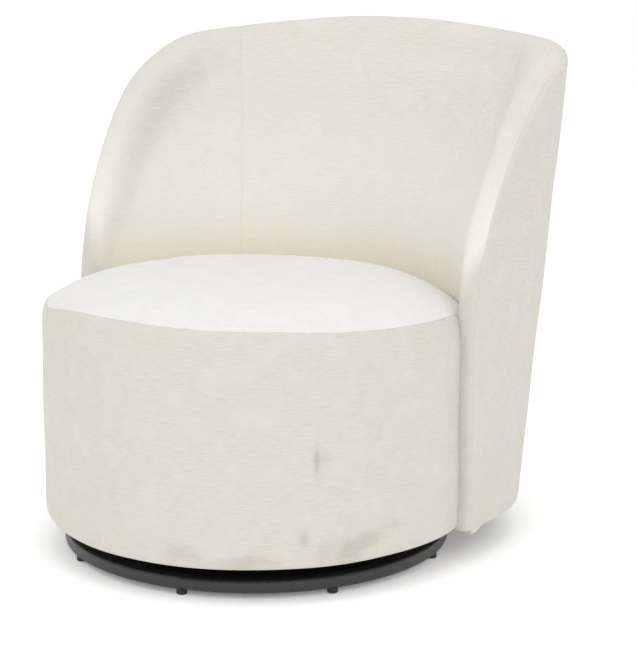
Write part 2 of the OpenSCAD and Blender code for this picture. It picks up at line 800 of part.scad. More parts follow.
// Stations along half of the edge, close together where the wing's front turns
front_levels = 5;
front_lead = 0.1;
turn_lead = 0.03;
front_stations = [for (j = [0 : front_levels]) mix(-1, -front_lead, j / front_levels)];
turn_stations = [-front_lead / 2, 0, turn_lead, 2 * turn_lead];
side_stations = [0.12, 0.24, 0.36, 0.48, 0.6, 0.72, 0.82, 0.9, 0.96, 1];
edge_stations = concat(front_stations, turn_stations, side_stations, rear_stations);
face_stations = concat([0], side_stations, rear_stations);
function flip(p) = [-p[0], p[1], p[2]];
// Sections from the right wing round the back to the left wing
function both_sides(right) = concat(
    right,
    [for (i = [len(right) - 2 : -1 : 0]) [for (p = right[i]) flip(p)]]
);

// Edge rail, bent along the wing fronts and the crest, and the foam roll on it
rail_start = -(sweep_z - board_z) / (sweep_z - skirt_z);
rail_stations = concat([rail_start], [for (w = edge_stations) if (w > rail_start) w]);
rail_low_d = rail_top_d + ply_t;
edge_rail_out_d = rail_out_d + skin_gap;
edge_rail_in_d = rail_in_d - skin_gap;
module back_edge_rail() {
    color(wood_colour) at_axis() rings(both_sides([for (w = rail_stations) [
        edge_point(w, edge_rail_out_d, rail_top_d), edge_point(w, edge_rail_in_d, rail_top_d),
        edge_point(w, edge_rail_in_d, rail_low_d), edge_point(w, edge_rail_out_d, rail_low_d)
    ]]));
}
roll_turns = [0, 45, 90, 135, 180];
module back_edge_roll() {
    color(foam_colour) at_axis() rings(both_sides([for (w = edge_stations) concat(
        [edge_point(w, roll_top_d, rail_top_d - board_gap)],
        [for (a = roll_turns) round_point(w, a, roll_top_d)],
        [edge_point(w, edge_t - roll_top_d, rail_top_d - board_gap)]
    )]));
}

// Point of the outer face under station w, drawn in by a distance, a share k of the
// way up from a height to a distance under the crest
low_power = 1.4;
function low_place(w, z, below) = w < 1
    ? mix(below / (corner_y(z) - wing_y), 1, pow(w, low_power))
    : w;
function face_point(w, k, inset, low_z, below) = let (
    top = edge_point(w, 0, below),
    z = mix(low_z, top[2], k),
    u = mix(low_place(w, low_z, below), place(top), k)
) outer_point(u, z) - outward(u, z) * inset;
face_levels = 6;
function face_column(w, inset, low_z, below) = [for (j = [0 : face_levels])
    face_point(w, j / face_levels, inset, low_z, below)];

// Uprights that lean with the back between the middle rail and the edge rail
upright_stations = [1.1, 1.5];
upright_half = 0.05;
upright_out_d = rail_out_d + upright_gap;
upright_in_d = rail_in_d - 3 * upright_gap;
function upright_corner(w, k, d) = face_point(w, k, d, deck_z, rail_low_d + upright_drop);
module upright(w) {
    rings([for (k = [0, 1]) [
        upright_corner(w - upright_half, k, upright_out_d),
        upright_corner(w - upright_half, k, upright_in_d),
        upright_corner(w + upright_half, k, upright_in_d),
        upright_corner(w + upright_half, k, upright_out_d)
    ]]);
}
module back_uprights() {
    color(wood_colour) at_axis() {
        for (w = upright_stations) {
            upright(w);
            mirror([1, 0, 0]) upright(w);
        }
        rings([for (k = [0, 1]) let (
            a = upright_corner(2 - upright_half, k, upright_out_d),
            b = upright_corner(2 - upright_half, k, upright_in_d)
        ) [a, b, flip(b), flip(a)]]);
    }
}

// Hard outer board of the back
module back_outer_board() {
    color(board_colour) at_axis() sheet(
        both_sides([for (w = face_stations) face_column(w, outer_board_d, board_z, rail_top_d)]),
        both_sides([for (w = face_stations)
            face_column(w, outer_board_d + outer_board_t, board_z, rail_top_d)])
    );
}

// Cover of the outside back: it goes up the face, round the edge to the seam, and
// forwards round the wing's front edge to the seam
half_turn = seam_turn / 2;
function outside_columns(inset) = concat(
    [[for (w = concat(front_stations, [-front_lead / 2, 0])) round_point(w, seam_turn, inset)]],
    [concat(
        [for (j = [0 : front_levels])
            round_point(mix(-1, -front_lead / 2, j / front_levels), half_turn, inset)],
        [round_point(0, half_turn, inset), round_point(turn_lead, seam_turn, inset)]
    )],
    [for (w = face_stations) concat(
        [for (j = [0 : front_levels])
            face_point(w, j / front_levels, inset, skirt_z, edge_round)],
        [round_point(max(w, turn_lead), half_turn, inset)],
        [round_point(max(w, 2 * turn_lead), seam_turn, inset)]
    )]
);
module outside_back_cover() {
    color(fabric_colour) at_axis()
        sheet(both_sides(outside_columns(0)), both_sides(outside_columns(cover_t)));
}

// Inner board and foam of the inside back, from the deck to under the edge
inner_top_d = rail_top_d + foam_gap;
inner_stations = [for (w = face_stations) if (w > 0.2) w];
function foam_column(w) = let (top = edge_point(w, edge_t - inside_gap, inner_top_d))
    [for (j = [0 : face_levels])
        inside_point(bearing(top), mix(foam_z, top[2], j / face_levels), inside_gap)];
module back_inner_board() {
    color(board_colour) at_axis() sheet(
        both_sides([for (w = inner_stations) face_column(w, inner_board_d, foam_z, inner_top_d)]),
        both_sides([for (w = inner_stations)
            face_column(w, inner_board_d + panel_t, foam_z, inner_top_d)])
    );
}
module back_foam() {
    color(foam_colour) at_axis() sheet(
        both_sides([for (w = inner_stations) face_column(w, back_foam_d, foam_z, inner_top_d)]),
        both_sides([for (w = inner_stations) foam_column(w)])
    );
}

// Covers of the inside: a middle panel, and two wing panels that wrap round the edge
seam_gap = 0.5;
turn_gap = 1;
cover_turns = [180, 150, 120, 90, 60, 40, seam_turn + turn_gap];
function edge_rows(w, inset) = [for (a = cover_turns) round_point(w, a, inset)];
function station_at(b, low, high, n) = n == 0 ? (low + high) / 2 : let (mid = (low + high) / 2)
    bearing(foot_point(mid)) > b ? station_at(b, mid, high, n - 1) : station_at(b, low, mid, n - 1);
seam_station = station_at(seam_angle, 0.5, 2, 20);
seam_half = seam_gap / 125;
function middle_column(w, inset) = let (foot = foot_point(w)) concat(
    [for (j = [0 : face_levels - 1])
        inside_point(bearing(foot), mix(foam_z, foot[2], j / face_levels), inset)],
    edge_rows(w, inset)
);
middle_stations = concat([seam_station + seam_half],
    [for (w = rear_stations) if (w > seam_station + 0.02) w]);
module inside_back_cover() {
    color(fabric_colour) at_axis() sheet(
        both_sides([for (w = middle_stations) middle_column(w, cover_t)]),
        both_sides([for (w = middle_stations) middle_column(w, 0)])
    );
}
wing_steps = 7;
tuck_bearing = 3.5;
least_row = 0.4;
front_rows = [for (w = edge_stations) if (w <= 0) w];
upper_rows = concat([for (w = edge_stations) if (w >= 0 && w < seam_station - 0.02) w],
    [seam_station - seam_half]);
function tuck_row(w, inset) = let (foot = foot_point(w)) concat(
    [inside_point(bearing(foot) - tuck_bearing, foot[2], inset)],
    edge_rows(w, inset)
);
function wing_row(w, inset) = let (
    foot = foot_point(w),
    b = bearing(foot),
    low = min(b - least_row, seam_angle + seam_gap),
    high = w == 0 ? b - tuck_bearing : mix(low, b, wing_steps / (wing_steps + 1))
) concat(
    [for (j = [0 : wing_steps]) inside_point(mix(low, high, j / wing_steps), foot[2], inset)],
    edge_rows(w, inset)
);
module wing_cover() {
    sheet([for (w = front_rows) tuck_row(w, cover_t)], [for (w = front_rows) tuck_row(w, 0)]);
    sheet([for (w = upper_rows) wing_row(w, cover_t)], [for (w = upper_rows) wing_row(w, 0)]);
}
module right_wing_cover() {
    color(fabric_colour) at_axis() wing_cover();
}
module left_wing_cover() {
    color(fabric_colour) at_axis() mirror([1, 0, 0]) wing_cover();
}

// Black dust cover under the back
module back_dust_cover() {
    color(black_colour) at_axis() translate([0, 0, board_z - dust_t]) linear_extrude(dust_t)
        back_plan(board_z, rail_out_d, nest_r, rail_front);
}

base_ring();
cross_bar_long();
cross_bar_left();
cross_bar_right();
glides();
swivel_lower_plate();
base_bolts();
base_nuts();
pivot_rivet();
ball_cage();
bearing_balls();
swivel_upper_plate();
seat_bolts();
tee_nuts();
drum_base_board();
drum_posts();
drum_top_ring();
drum_front_panel();
drum_rear_panel();
webbing_lengthwise();
webbing_crosswise();
seat_foam();
seat_cover();
drum_foam();
drum_cover();
dust_cover();
back_bottom_rail();
back_posts();
back_middle_rail();
back_uprights();
back_edge_rail();
back_outer_board();
back_inner_board();
back_foam();
back_edge_roll();
inside_back_cover();
left_wing_cover();
right_wing_cover();
outside_back_cover();
back_dust_cover();
back_bolts();
back_washers();
back_nuts();
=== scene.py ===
# Swivel accent chair: the covers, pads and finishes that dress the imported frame.
# Everything is in metres in the frame's own axes: +Z up, the sitter faces -Y.
import json
import math

import bpy
import numpy as np
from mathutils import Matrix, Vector, noise


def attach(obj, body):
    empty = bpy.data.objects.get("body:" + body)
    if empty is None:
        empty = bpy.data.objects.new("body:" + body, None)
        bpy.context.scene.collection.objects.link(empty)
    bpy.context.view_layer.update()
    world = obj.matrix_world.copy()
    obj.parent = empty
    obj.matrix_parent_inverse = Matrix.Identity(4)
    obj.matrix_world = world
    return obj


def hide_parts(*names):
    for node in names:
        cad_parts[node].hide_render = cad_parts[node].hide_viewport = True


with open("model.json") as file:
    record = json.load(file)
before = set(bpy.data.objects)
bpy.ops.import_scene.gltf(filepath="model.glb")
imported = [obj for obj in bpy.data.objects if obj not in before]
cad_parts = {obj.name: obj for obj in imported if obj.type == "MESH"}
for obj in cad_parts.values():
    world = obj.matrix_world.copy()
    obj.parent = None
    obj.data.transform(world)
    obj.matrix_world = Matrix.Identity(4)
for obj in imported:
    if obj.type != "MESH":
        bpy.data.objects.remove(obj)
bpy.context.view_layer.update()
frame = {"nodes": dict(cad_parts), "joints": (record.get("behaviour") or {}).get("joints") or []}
nodes = frame["nodes"]
axis_y = next(j for j in frame["joints"] if j["name"] == "swivel")["pos_m"][1]

# Camera: a long lens from the front and a little above, turned 31 degrees round
# the chair, which is the place the photograph was taken from.
camera_turn = math.radians(31)
camera_yaw = math.radians(1.52)
camera_pitch = math.radians(13.32)
camera_place = (1.7775, -3.0385, 1.1265)
picture_long_side = 664
focal_pixels = 2450
film_width = 36
view_reach = 50
lens = bpy.data.cameras.new("camera")
lens.sensor_width = film_width
lens.lens = focal_pixels / picture_long_side * film_width
lens.clip_end = view_reach
camera = bpy.data.objects.new("camera", lens)
camera.location = camera_place
camera.rotation_euler = (math.pi / 2 - camera_pitch, 0, camera_turn - camera_yaw)
bpy.context.scene.collection.objects.link(camera)
bpy.context.scene.camera = camera

# Studio: a white sweep under the chair, large soft lights in front, above and at the
# right, and a pale surround that fills the shaded side. The sweep glows a little, and
# is dark inside the base's ring, where hardly any light comes.
sweep_size, sweep_glow, surround_strength = 30, 0.19, 0.85
shade_full_r, shade_end_r = 0.225, 0.268
light_target, light_size, top_light_size = (0, 0, 0.4), 2.2, 2.4
bpy.context.scene.view_settings.view_transform = "Standard"


def linear(colour):
    """A colour written as sRGB hex, as the shader's linear red, green, blue and alpha."""
    parts = [int(colour[i:i + 2], 16) / 255 for i in (0, 2, 4)]
    return (*(p / 12.92 if p <= 0.04045 else ((p + 0.055) / 1.055) ** 2.4 for p in parts), 1)


def add_node(tree, kind, inputs=None, **settings):
    """Adds a shader node with its settings; an input is a value or the socket that feeds it."""
    made = tree.nodes.new(kind)
    for key, value in settings.items():
        setattr(made, key, value)
    for key, value in (inputs or {}).items():
        if isinstance(value, bpy.types.NodeSocket):
            tree.links.new(value, made.inputs[key])
        else:
            made.inputs[key].default_value = value
    return made


def maths(tree, operation, *values):
    """The outcome of a sum on values or sockets."""
    return add_node(tree, "ShaderNodeMath", dict(enumerate(values)), operation=operation).outputs[0]


def vector_maths(tree, operation, *values):
    return add_node(tree, "ShaderNodeVectorMath", dict(enumerate(values)), operation=operation).outputs


def soft_range(tree, value, span, ends):
    """A share that goes softly from one end to the other while the value goes over its span."""
    return add_node(tree, "ShaderNodeMapRange", dict(enumerate((value, *span, *ends))),
                    interpolation_type="SMOOTHSTEP").outputs[0]


def tint(tree, share, first, second):
    """A colour that passes from the first to the second by a share."""
    return add_node(tree, "ShaderNodeMix", {0: share, 6: first, 7: second}, data_type="RGBA").outputs[2]


def object_coords(tree):
    return add_node(tree, "ShaderNodeTexCoord").outputs["Object"]


def new_finish(name, **sockets):
    """A material and its shader, with the sockets that are the same all over."""
    finish = bpy.data.materials.new(name)
    finish.use_nodes = True
    shader = finish.node_tree.nodes["Principled BSDF"]
    for key, value in sockets.items():
        shader.inputs[key.replace("_", " ")].default_value = value
    return finish, finish.node_tree, shader


bpy.ops.object.select_all(action="DESELECT")
bpy.ops.mesh.primitive_plane_add(size=sweep_size)
floor = bpy.context.object
floor.name = "floor"
paper, paper_tree, paper_shader = new_finish(
    "white_paper_sweep", Roughness=0.9, Emission_Color=linear("FFFFFF"))
from_axis = vector_maths(paper_tree, "DISTANCE", object_coords(paper_tree), (0, axis_y, 0))["Value"]
lit = soft_range(paper_tree, from_axis, (shade_full_r, shade_end_r), (0.0, 1.0))
paper_tree.links.new(maths(paper_tree, "MULTIPLY", lit, sweep_glow),
                     paper_shader.inputs["Emission Strength"])
paper_tree.links.new(tint(paper_tree, lit, linear("303030"), linear("FCFCFC")),
                     paper_shader.inputs["Base Color"])
floor.data.materials.append(paper)

surround = bpy.data.worlds.new("surround")
surround.use_nodes = True
surround.node_tree.nodes["Background"].inputs["Color"].default_value = linear("FFFFFF")
surround.node_tree.nodes["Background"].inputs["Strength"].default_value = surround_strength
bpy.context.scene.world = surround


def softbox(name, place, power, size=light_size):
    lamp = bpy.data.lights.new(name, "AREA")
    lamp.shape, lamp.size, lamp.energy = "DISK", size, power
    holder = bpy.data.objects.new(name, lamp)
    holder.location = place
    holder.rotation_euler = (Vector(light_target) - Vector(place)).to_track_quat("-Z", "Y").to_euler()
    bpy.context.scene.collection.objects.link(holder)


softbox("key_light", (-1.6, -2.6, 3.4), 16)
softbox("front_light", (1.0, -3.6, 1.8), 12)
softbox("right_light", (2.8, -1.4, 2.0), 13)
softbox("top_light", (0.3, -0.3, 3.6), 18, top_light_size)

# Back: bent boards and foam under a chenille cover, sewn from an outside panel,
# a middle inside panel and two wing panels that roll over the edge to one seam.
# The surfaces below are drawn from the swivel axis, and laid in their place round it.
overall_w, overall_h, back_reach = 0.686, 0.724, 0.468
skirt_z, edge_round, side_lean = 0.047, 0.018, 0.008
corner_low, corner_top, rear_low = 0.140, 0.295, 0.405
wing_y, wing_x, sweep_z = 0.030, 0.334, 0.310
crest_drop, drop_late, drop_fade = 0.012, 2.4, 2.8
edge_square, inner_square, square_fade = 3, 2, (-0.1, 0.3)
edge_t = 0.048
eps, probe, probe_in = 1e-9, 0.001, 0.004


def mix(a, b, k):
    return a + (b - a) * k


def smooth(a, b, x):
    k = np.clip((x - a) / (b - a), 0, 1)
    return k * k * (3 - 2 * k)


def unit(v):
    return v / np.maximum(np.linalg.norm(v, axis=-1, keepdims=True), eps)


def rise(z):
    return (z - skirt_z) / (overall_h - edge_round - skirt_z)


def half_w(z):
    return overall_w / 2 - side_lean * np.maximum(0, 1 - rise(z)) ** 2


def corner_y(z):
    return mix(corner_low, corner_top, rise(z))


def rear_y(z):
    return mix(rear_low, back_reach, rise(z))


def outer_point(u, z):
    """Point of the outer face: u is 0 at the wing's front, 1 at the corner, 2 at the rear."""
    u, z = np.broadcast_arrays(np.asarray(u, float), np.asarray(z, float))
    turn = np.radians(90 * (2 - u))
    x = np.where(u < 1, mix(wing_x, half_w(z), 1 - (1 - u) ** 2), half_w(z) * np.sin(turn))
    y = np.where(u < 1, mix(wing_y, corner_y(z), u), mix(corner_y(z), rear_y(z), np.cos(turn)))
    return np.stack([x, y, z], -1)


def outward(u, z):
    turn = np.radians(90 * (2 - u))
    x = np.where(u < 1, corner_y(z) - wing_y, np.sin(turn) / half_w(z))
    y = np.where(u < 1, -2 * (1 - u) * (half_w(z) - wing_x), np.cos(turn) / (rear_y(z) - corner_y(z)))
    return unit(np.stack([x, y, 0 * x], -1))


def place(p):
    """The place u of a point that lies on the outer face."""
    x, y, z = np.moveaxis(p, -1, 0)
    beyond = y - corner_y(z)
    side = 1 + beyond / (corner_y(z) - wing_y)
    rear = 2 - np.degrees(np.arctan2(x / half_w(z), beyond / (rear_y(z) - corner_y(z)))) / 90
    return np.where(beyond < 0, side, rear)


crest_lift = edge_t / 2 * math.sin(math.atan2(back_reach - rear_low, overall_h - edge_round - skirt_z))
rim_a, rim_b = back_reach - wing_y, overall_h - crest_lift - sweep_z
corner_slope = (corner_top - corner_low) / (overall_h - edge_round - skirt_z)


def fall(w):
    """How far the crest falls under the ellipse on its way round the rear corner."""
    return crest_drop * np.abs(np.sin(math.pi * (np.clip(w, 0, 2) / 2) ** drop_late)) ** drop_fade


def ellipse_z(u):
    """Height at which the face's leaning line meets the ellipse of the edge."""
    low, high = outer_point(u, sweep_z)[..., 1], outer_point(u, overall_h)[..., 1]
    slope, lead = (high - low) / rim_b, back_reach - low
    p = slope ** 2 / rim_a ** 2 + 1 / rim_b ** 2
    q, r = lead * slope / rim_a ** 2, lead ** 2 / rim_a ** 2 - 1
    return sweep_z + (q + np.sqrt(np.maximum(0, q * q - p * r))) / p


sweep_turn = math.asin((float(ellipse_z(1)) - sweep_z) / rim_b)


def sweep_point(w):
    y = back_reach - rim_a * np.cos(w * sweep_turn) - fall(w) * corner_slope * w
    z = sweep_z + rim_b * np.sin(w * sweep_turn) - fall(w)
    return np.stack([0 * w + wing_x, y, z], -1)


def rim_z(u):
    return ellipse_z(u) - fall(u)


def edge_place(w):
    return np.where(w <= 0, 0, np.where(w < 1, place(sweep_point(w)), w))


def rim_point(w):
    """The edge: w is -1 to 0 up the wing's front, to 1 over the side, to 2 at the rear."""
    above = np.where(w < 1, sweep_point(w)[..., 2], rim_z(edge_place(w)))
    z = np.where(w < 0, mix(sweep_z, skirt_z, -w), above)
    return outer_point(edge_place(w), z)


def side_out(w):
    u, z = edge_place(w), rim_point(w)[..., 2]
    along = np.cross(outward(u, z), [0, 0, 1])
    n = np.cross(along, outer_point(u, z + probe) - outer_point(u, z - probe))
    return unit(n * np.where(n[..., :1] + n[..., 1:2] < 0, -1, 1))


def crest_dir(w):
    step = 0.01
    n = side_out(w)
    front = -unit(np.stack([-n[..., 1], n[..., 0], 0 * n[..., 0]], -1))
    tangent = rim_point(np.minimum(w + step, 2)) - rim_point(w - step)
    tangent = np.where((w > 2 - step)[..., None], [-1.0, 0, 0], tangent)
    return np.where((w <= 0)[..., None], front, unit(np.cross(n, tangent)))


def edge_point(w, across, below):
    """Point of a section through the edge, in from the outer face and down from the crest."""
    across, below = np.broadcast_to(across, w.shape), np.broadcast_to(below, w.shape)
    return rim_point(w) - side_out(w) * across[..., None] - crest_dir(w) * below[..., None]


def along_edge(w, stations, values):
    """A value that changes softly from station to station of the edge."""
    return sum(np.interp(w + d, stations, values) for d in (-0.1, -0.05, 0, 0.05, 0.1)) / 5


def edge_width(w):
    """Thickness of the back at its edge, slim where the wing meets the drum."""
    return along_edge(w, [-1, 0, 0.18, 0.35, 0.6, 0.85, 1, 1.3, 2],
                      [0.032, 0.033, 0.038, 0.051, 0.055, 0.069, 0.073, 0.061, 0.048])


def inner_drop(w):
    """How far below the crest the padded roll runs out into the inside wall."""
    return along_edge(w, [-1, 0, 0.25, 0.6, 1, 1.5, 2],
                      [0.018, 0.020, 0.036, 0.050, 0.056, 0.044, 0.036])


def seam_turn(w):
    """How far round the edge the outer seam runs, measured from the outer face."""
    return along_edge(w, [-1, 0, 0.35, 0.7, 1, 1.5, 2], [28, 28, 33, 42, 47, 40, 34])


def round_point(w, turn, inset=0.0):
    """Point of the rounded edge, from 0 at the outer face over 90 at the crest to 180 inside."""
    a, half = np.radians(turn), edge_width(w) / 2
    inner = mix(edge_square, inner_square, smooth(*square_fade, w))
    bend = 2 / np.where(turn > 90, inner, edge_square)
    drop = np.where(turn > 90, inner_drop(w), edge_round)
    across = half - (half - inset) * np.sign(np.cos(a)) * np.abs(np.cos(a)) ** bend
    below = drop - (drop - inset) * np.abs(np.sin(a)) ** bend
    return edge_point(w, across, below)


def bearing(p):
    return np.degrees(np.arctan2(p[..., 0], p[..., 1]))


def foot_point(w):
    return edge_point(w, edge_width(w), inner_drop(w))


table_w = np.linspace(2, 0, 401)
table_foot = foot_point(table_w)
table_b = bearing(table_foot)
table_r = np.hypot(table_foot[:, 0], table_foot[:, 1])
table_z = table_foot[:, 2]
nest_rear_r, nest_z, lean_power = 0.290, 0.3636, 2.2
nest_turn, corner_turns, least_wall = 55, (58, 72), 0.02
foam_shifts, foam_shares = (-12, -8, -4, 0, 4, 8, 12), (1, 2, 3, 4, 3, 2, 1)


def softened(b, table):
    """A measure of the edge's foot on a bearing, drawn softly round the rear corner by the foam."""
    there = np.interp(np.abs(b), table_b, table)
    spread = sum(share * np.interp(np.abs(b + shift), table_b, table)
                 for shift, share in zip(foam_shifts, foam_shares)) / sum(foam_shares)
    return mix(spread, there, smooth(*corner_turns, np.abs(b)))


def nest_radius(b):
    """Radius of the nest that the seat sits in, a little wider between the wings."""
    return mix(nest_rear_r, table_r[-1], smooth(nest_turn, table_b[-1], np.abs(b)))


def inside_radius(b, z):
    low, reach = nest_radius(b), softened(b, table_r)
    share = (z - nest_z) / np.maximum(least_wall, softened(b, table_z) - nest_z)
    return low + (reach - low) * np.clip(share, 0, 1) ** lean_power


def inside_point(b, z, inset=0.0):
    """Point of the inside face on a bearing from the rear, at a height."""
    r = inside_radius(b, z) + inset
    return np.stack([r * np.sin(np.radians(b)), r * np.cos(np.radians(b)), z], -1)


seam_allowance, allowance_bend = 0.006, 0.001
seat_dip, seat_dip_width = 0.0007, 0.008


def seam_dip(distance, depth=0.0008, width=0.005):
    """How far a panel turns in towards the seam at its border. Past the seam comes the allowance
    behind it, where two panels lie face to face."""
    k = np.clip(1 - distance / width, 0, 1)
    return depth * k * k + seam_allowance * np.clip(-distance / allowance_bend, 0, 1)


def mirrored(p, side):
    return p * np.stack([side, 0 * side + 1, 0 * side + 1], -1)


loose_reach, loose_depth, loose_seed = 0.11, 0.0018, 11
noise.seed_set(loose_seed)
pushes = ((-1, 1.2, 0.12, (0, 0, -0.010)), (-1, 0.78, 0.11, (-0.003, -0.005, 0.005)),
          (1, 1.4, 0.15, (0.002, 0, 0.006)), (1, 0.75, 0.20, (0.003, 0, 0.001)))


def hand_stretched(points):
    """The slight unevenness of a cover stretched by hand, alike on both sides of a seam."""
    return points + loose_depth * np.array([noise.noise_vector(Vector(p) / loose_reach) for p in points])


def settled(points):
    """Where the real back has lost its symmetry: one rear corner has sunk, the other stands
    proud, and one wing bows out. Each is a soft push round a point of the edge."""
    for side, w, reach, push in pushes:
        centre = round_point(np.array([w]), 90.0)[0] * [side, 1, 1]
        share = np.exp(-np.sum((points - centre) ** 2, axis=1) / reach ** 2)
        points = points + share[:, None] * push
    return points


def edit_mesh(*steps):
    """Runs each step with its settings on the whole mesh of the active object."""
    bpy.ops.object.mode_set(mode="EDIT")
    bpy.ops.mesh.select_all(action="SELECT")
    for step, settings in steps:
        step(**settings)
    bpy.ops.object.mode_set(mode="OBJECT")


def lay_panel(name, across, along, surface, turned=False):
    """Lays a flat grid of cloth and moves each point of it onto its surface. The cloth's own
    measures, in metres along and up the weave, go with it as its UV map."""
    bpy.ops.object.select_all(action="DESELECT")
    columns, rows = len(across) - 1, len(along) - 1
    bpy.ops.mesh.primitive_grid_add(x_subdivisions=columns, y_subdivisions=rows, size=2)
    panel = bpy.context.object
    panel.name = panel.data.name = name
    flat = np.zeros(len(panel.data.vertices) * 3)
    panel.data.vertices.foreach_get("co", flat)
    flat = flat.reshape(-1, 3)
    column = np.rint((flat[:, 0] + 1) / 2 * columns).astype(int)
    row = np.rint((flat[:, 1] + 1) / 2 * rows).astype(int)
    points, cloth = surface(np.asarray(across, float)[column], np.asarray(along, float)[row])
    panel.data.vertices.foreach_set("co", (settled(hand_stretched(points)) + [0, axis_y, 0]).ravel())
    corners = np.zeros(len(panel.data.loops), int)
    panel.data.loops.foreach_get("vertex_index", corners)
    weave = panel.data.uv_layers.active
    weave.name = "weave"
    weave.data.foreach_set("uv", cloth[corners].ravel())
    if turned:
        edit_mesh((bpy.ops.mesh.flip_normals, {}))
    panel.data.update()
    return panel


cover_wall, merge_within, pole_within = 0.004, 2e-5, 1e-6


def apply_modifier(piece, kind, **settings):
    made = piece.modifiers.new(kind.lower(), kind)
    for key, value in settings.items():
        setattr(made, key, value)
    bpy.context.view_layer.objects.active = piece
    bpy.ops.object.modifier_apply(modifier=made.name)


def upholster(panel, finish, wall=cover_wall):
    """Gives a laid panel its thickness, a finer mesh and its finish."""
    edit_mesh((bpy.ops.mesh.remove_doubles, {"threshold": merge_within}),
              (bpy.ops.mesh.dissolve_degenerate, {"threshold": merge_within}))
    if wall:
        apply_modifier(panel, "SOLIDIFY", thickness=wall, offset=-1)
    apply_modifier(panel, "SUBSURF", levels=1, render_levels=1)
    panel.data.materials.clear()
    panel.data.materials.append(finish)
    bpy.ops.object.select_all(action="DESELECT")
    panel.select_set(True)
    bpy.ops.object.shade_smooth()


# Ivory chenille: a woven cloth with thick furry weft yarns, so it shows fine level
# ribs that swell and fade as slubs, soft in the light and warm where it is shaded.
# The pile is a little coarser here than in life, so that it shows.
wave_period = math.pi / 10
rib_spacing, rib_waver, rib_share = 0.0034, 2.0, 0.28
slub_length, slub_height, slub_rough, slub_waver = 0.015, 0.0028, 0.55, 0.2
drift_length, drift_height, drift_depth = 0.045, 0.03, 0.0022
pile_size, pile_share, cloth_depth = 0.0014, 0.3, 0.0008
yarn_low, yarn_high = 0.5, 1.1
mottle_size, mottle_low, mottle_high, mottle_share = 0.032, 0.42, 0.72, 0.5
wall_round, wall_fade = 0.475, 0.03
# Heights over which painted light pales the lower inside wall, where the seat and wings shade it
painted_light_low, painted_light_high = 0.40, 0.64
# Height and reach of a painted warm cast of bounced light in the crease behind the seat
tan_z, tan_core, tan_reach = 0.372, 0.01, 0.055
ragged_by, mark_core, mark_rim = 1.2, 0.7, 1.7


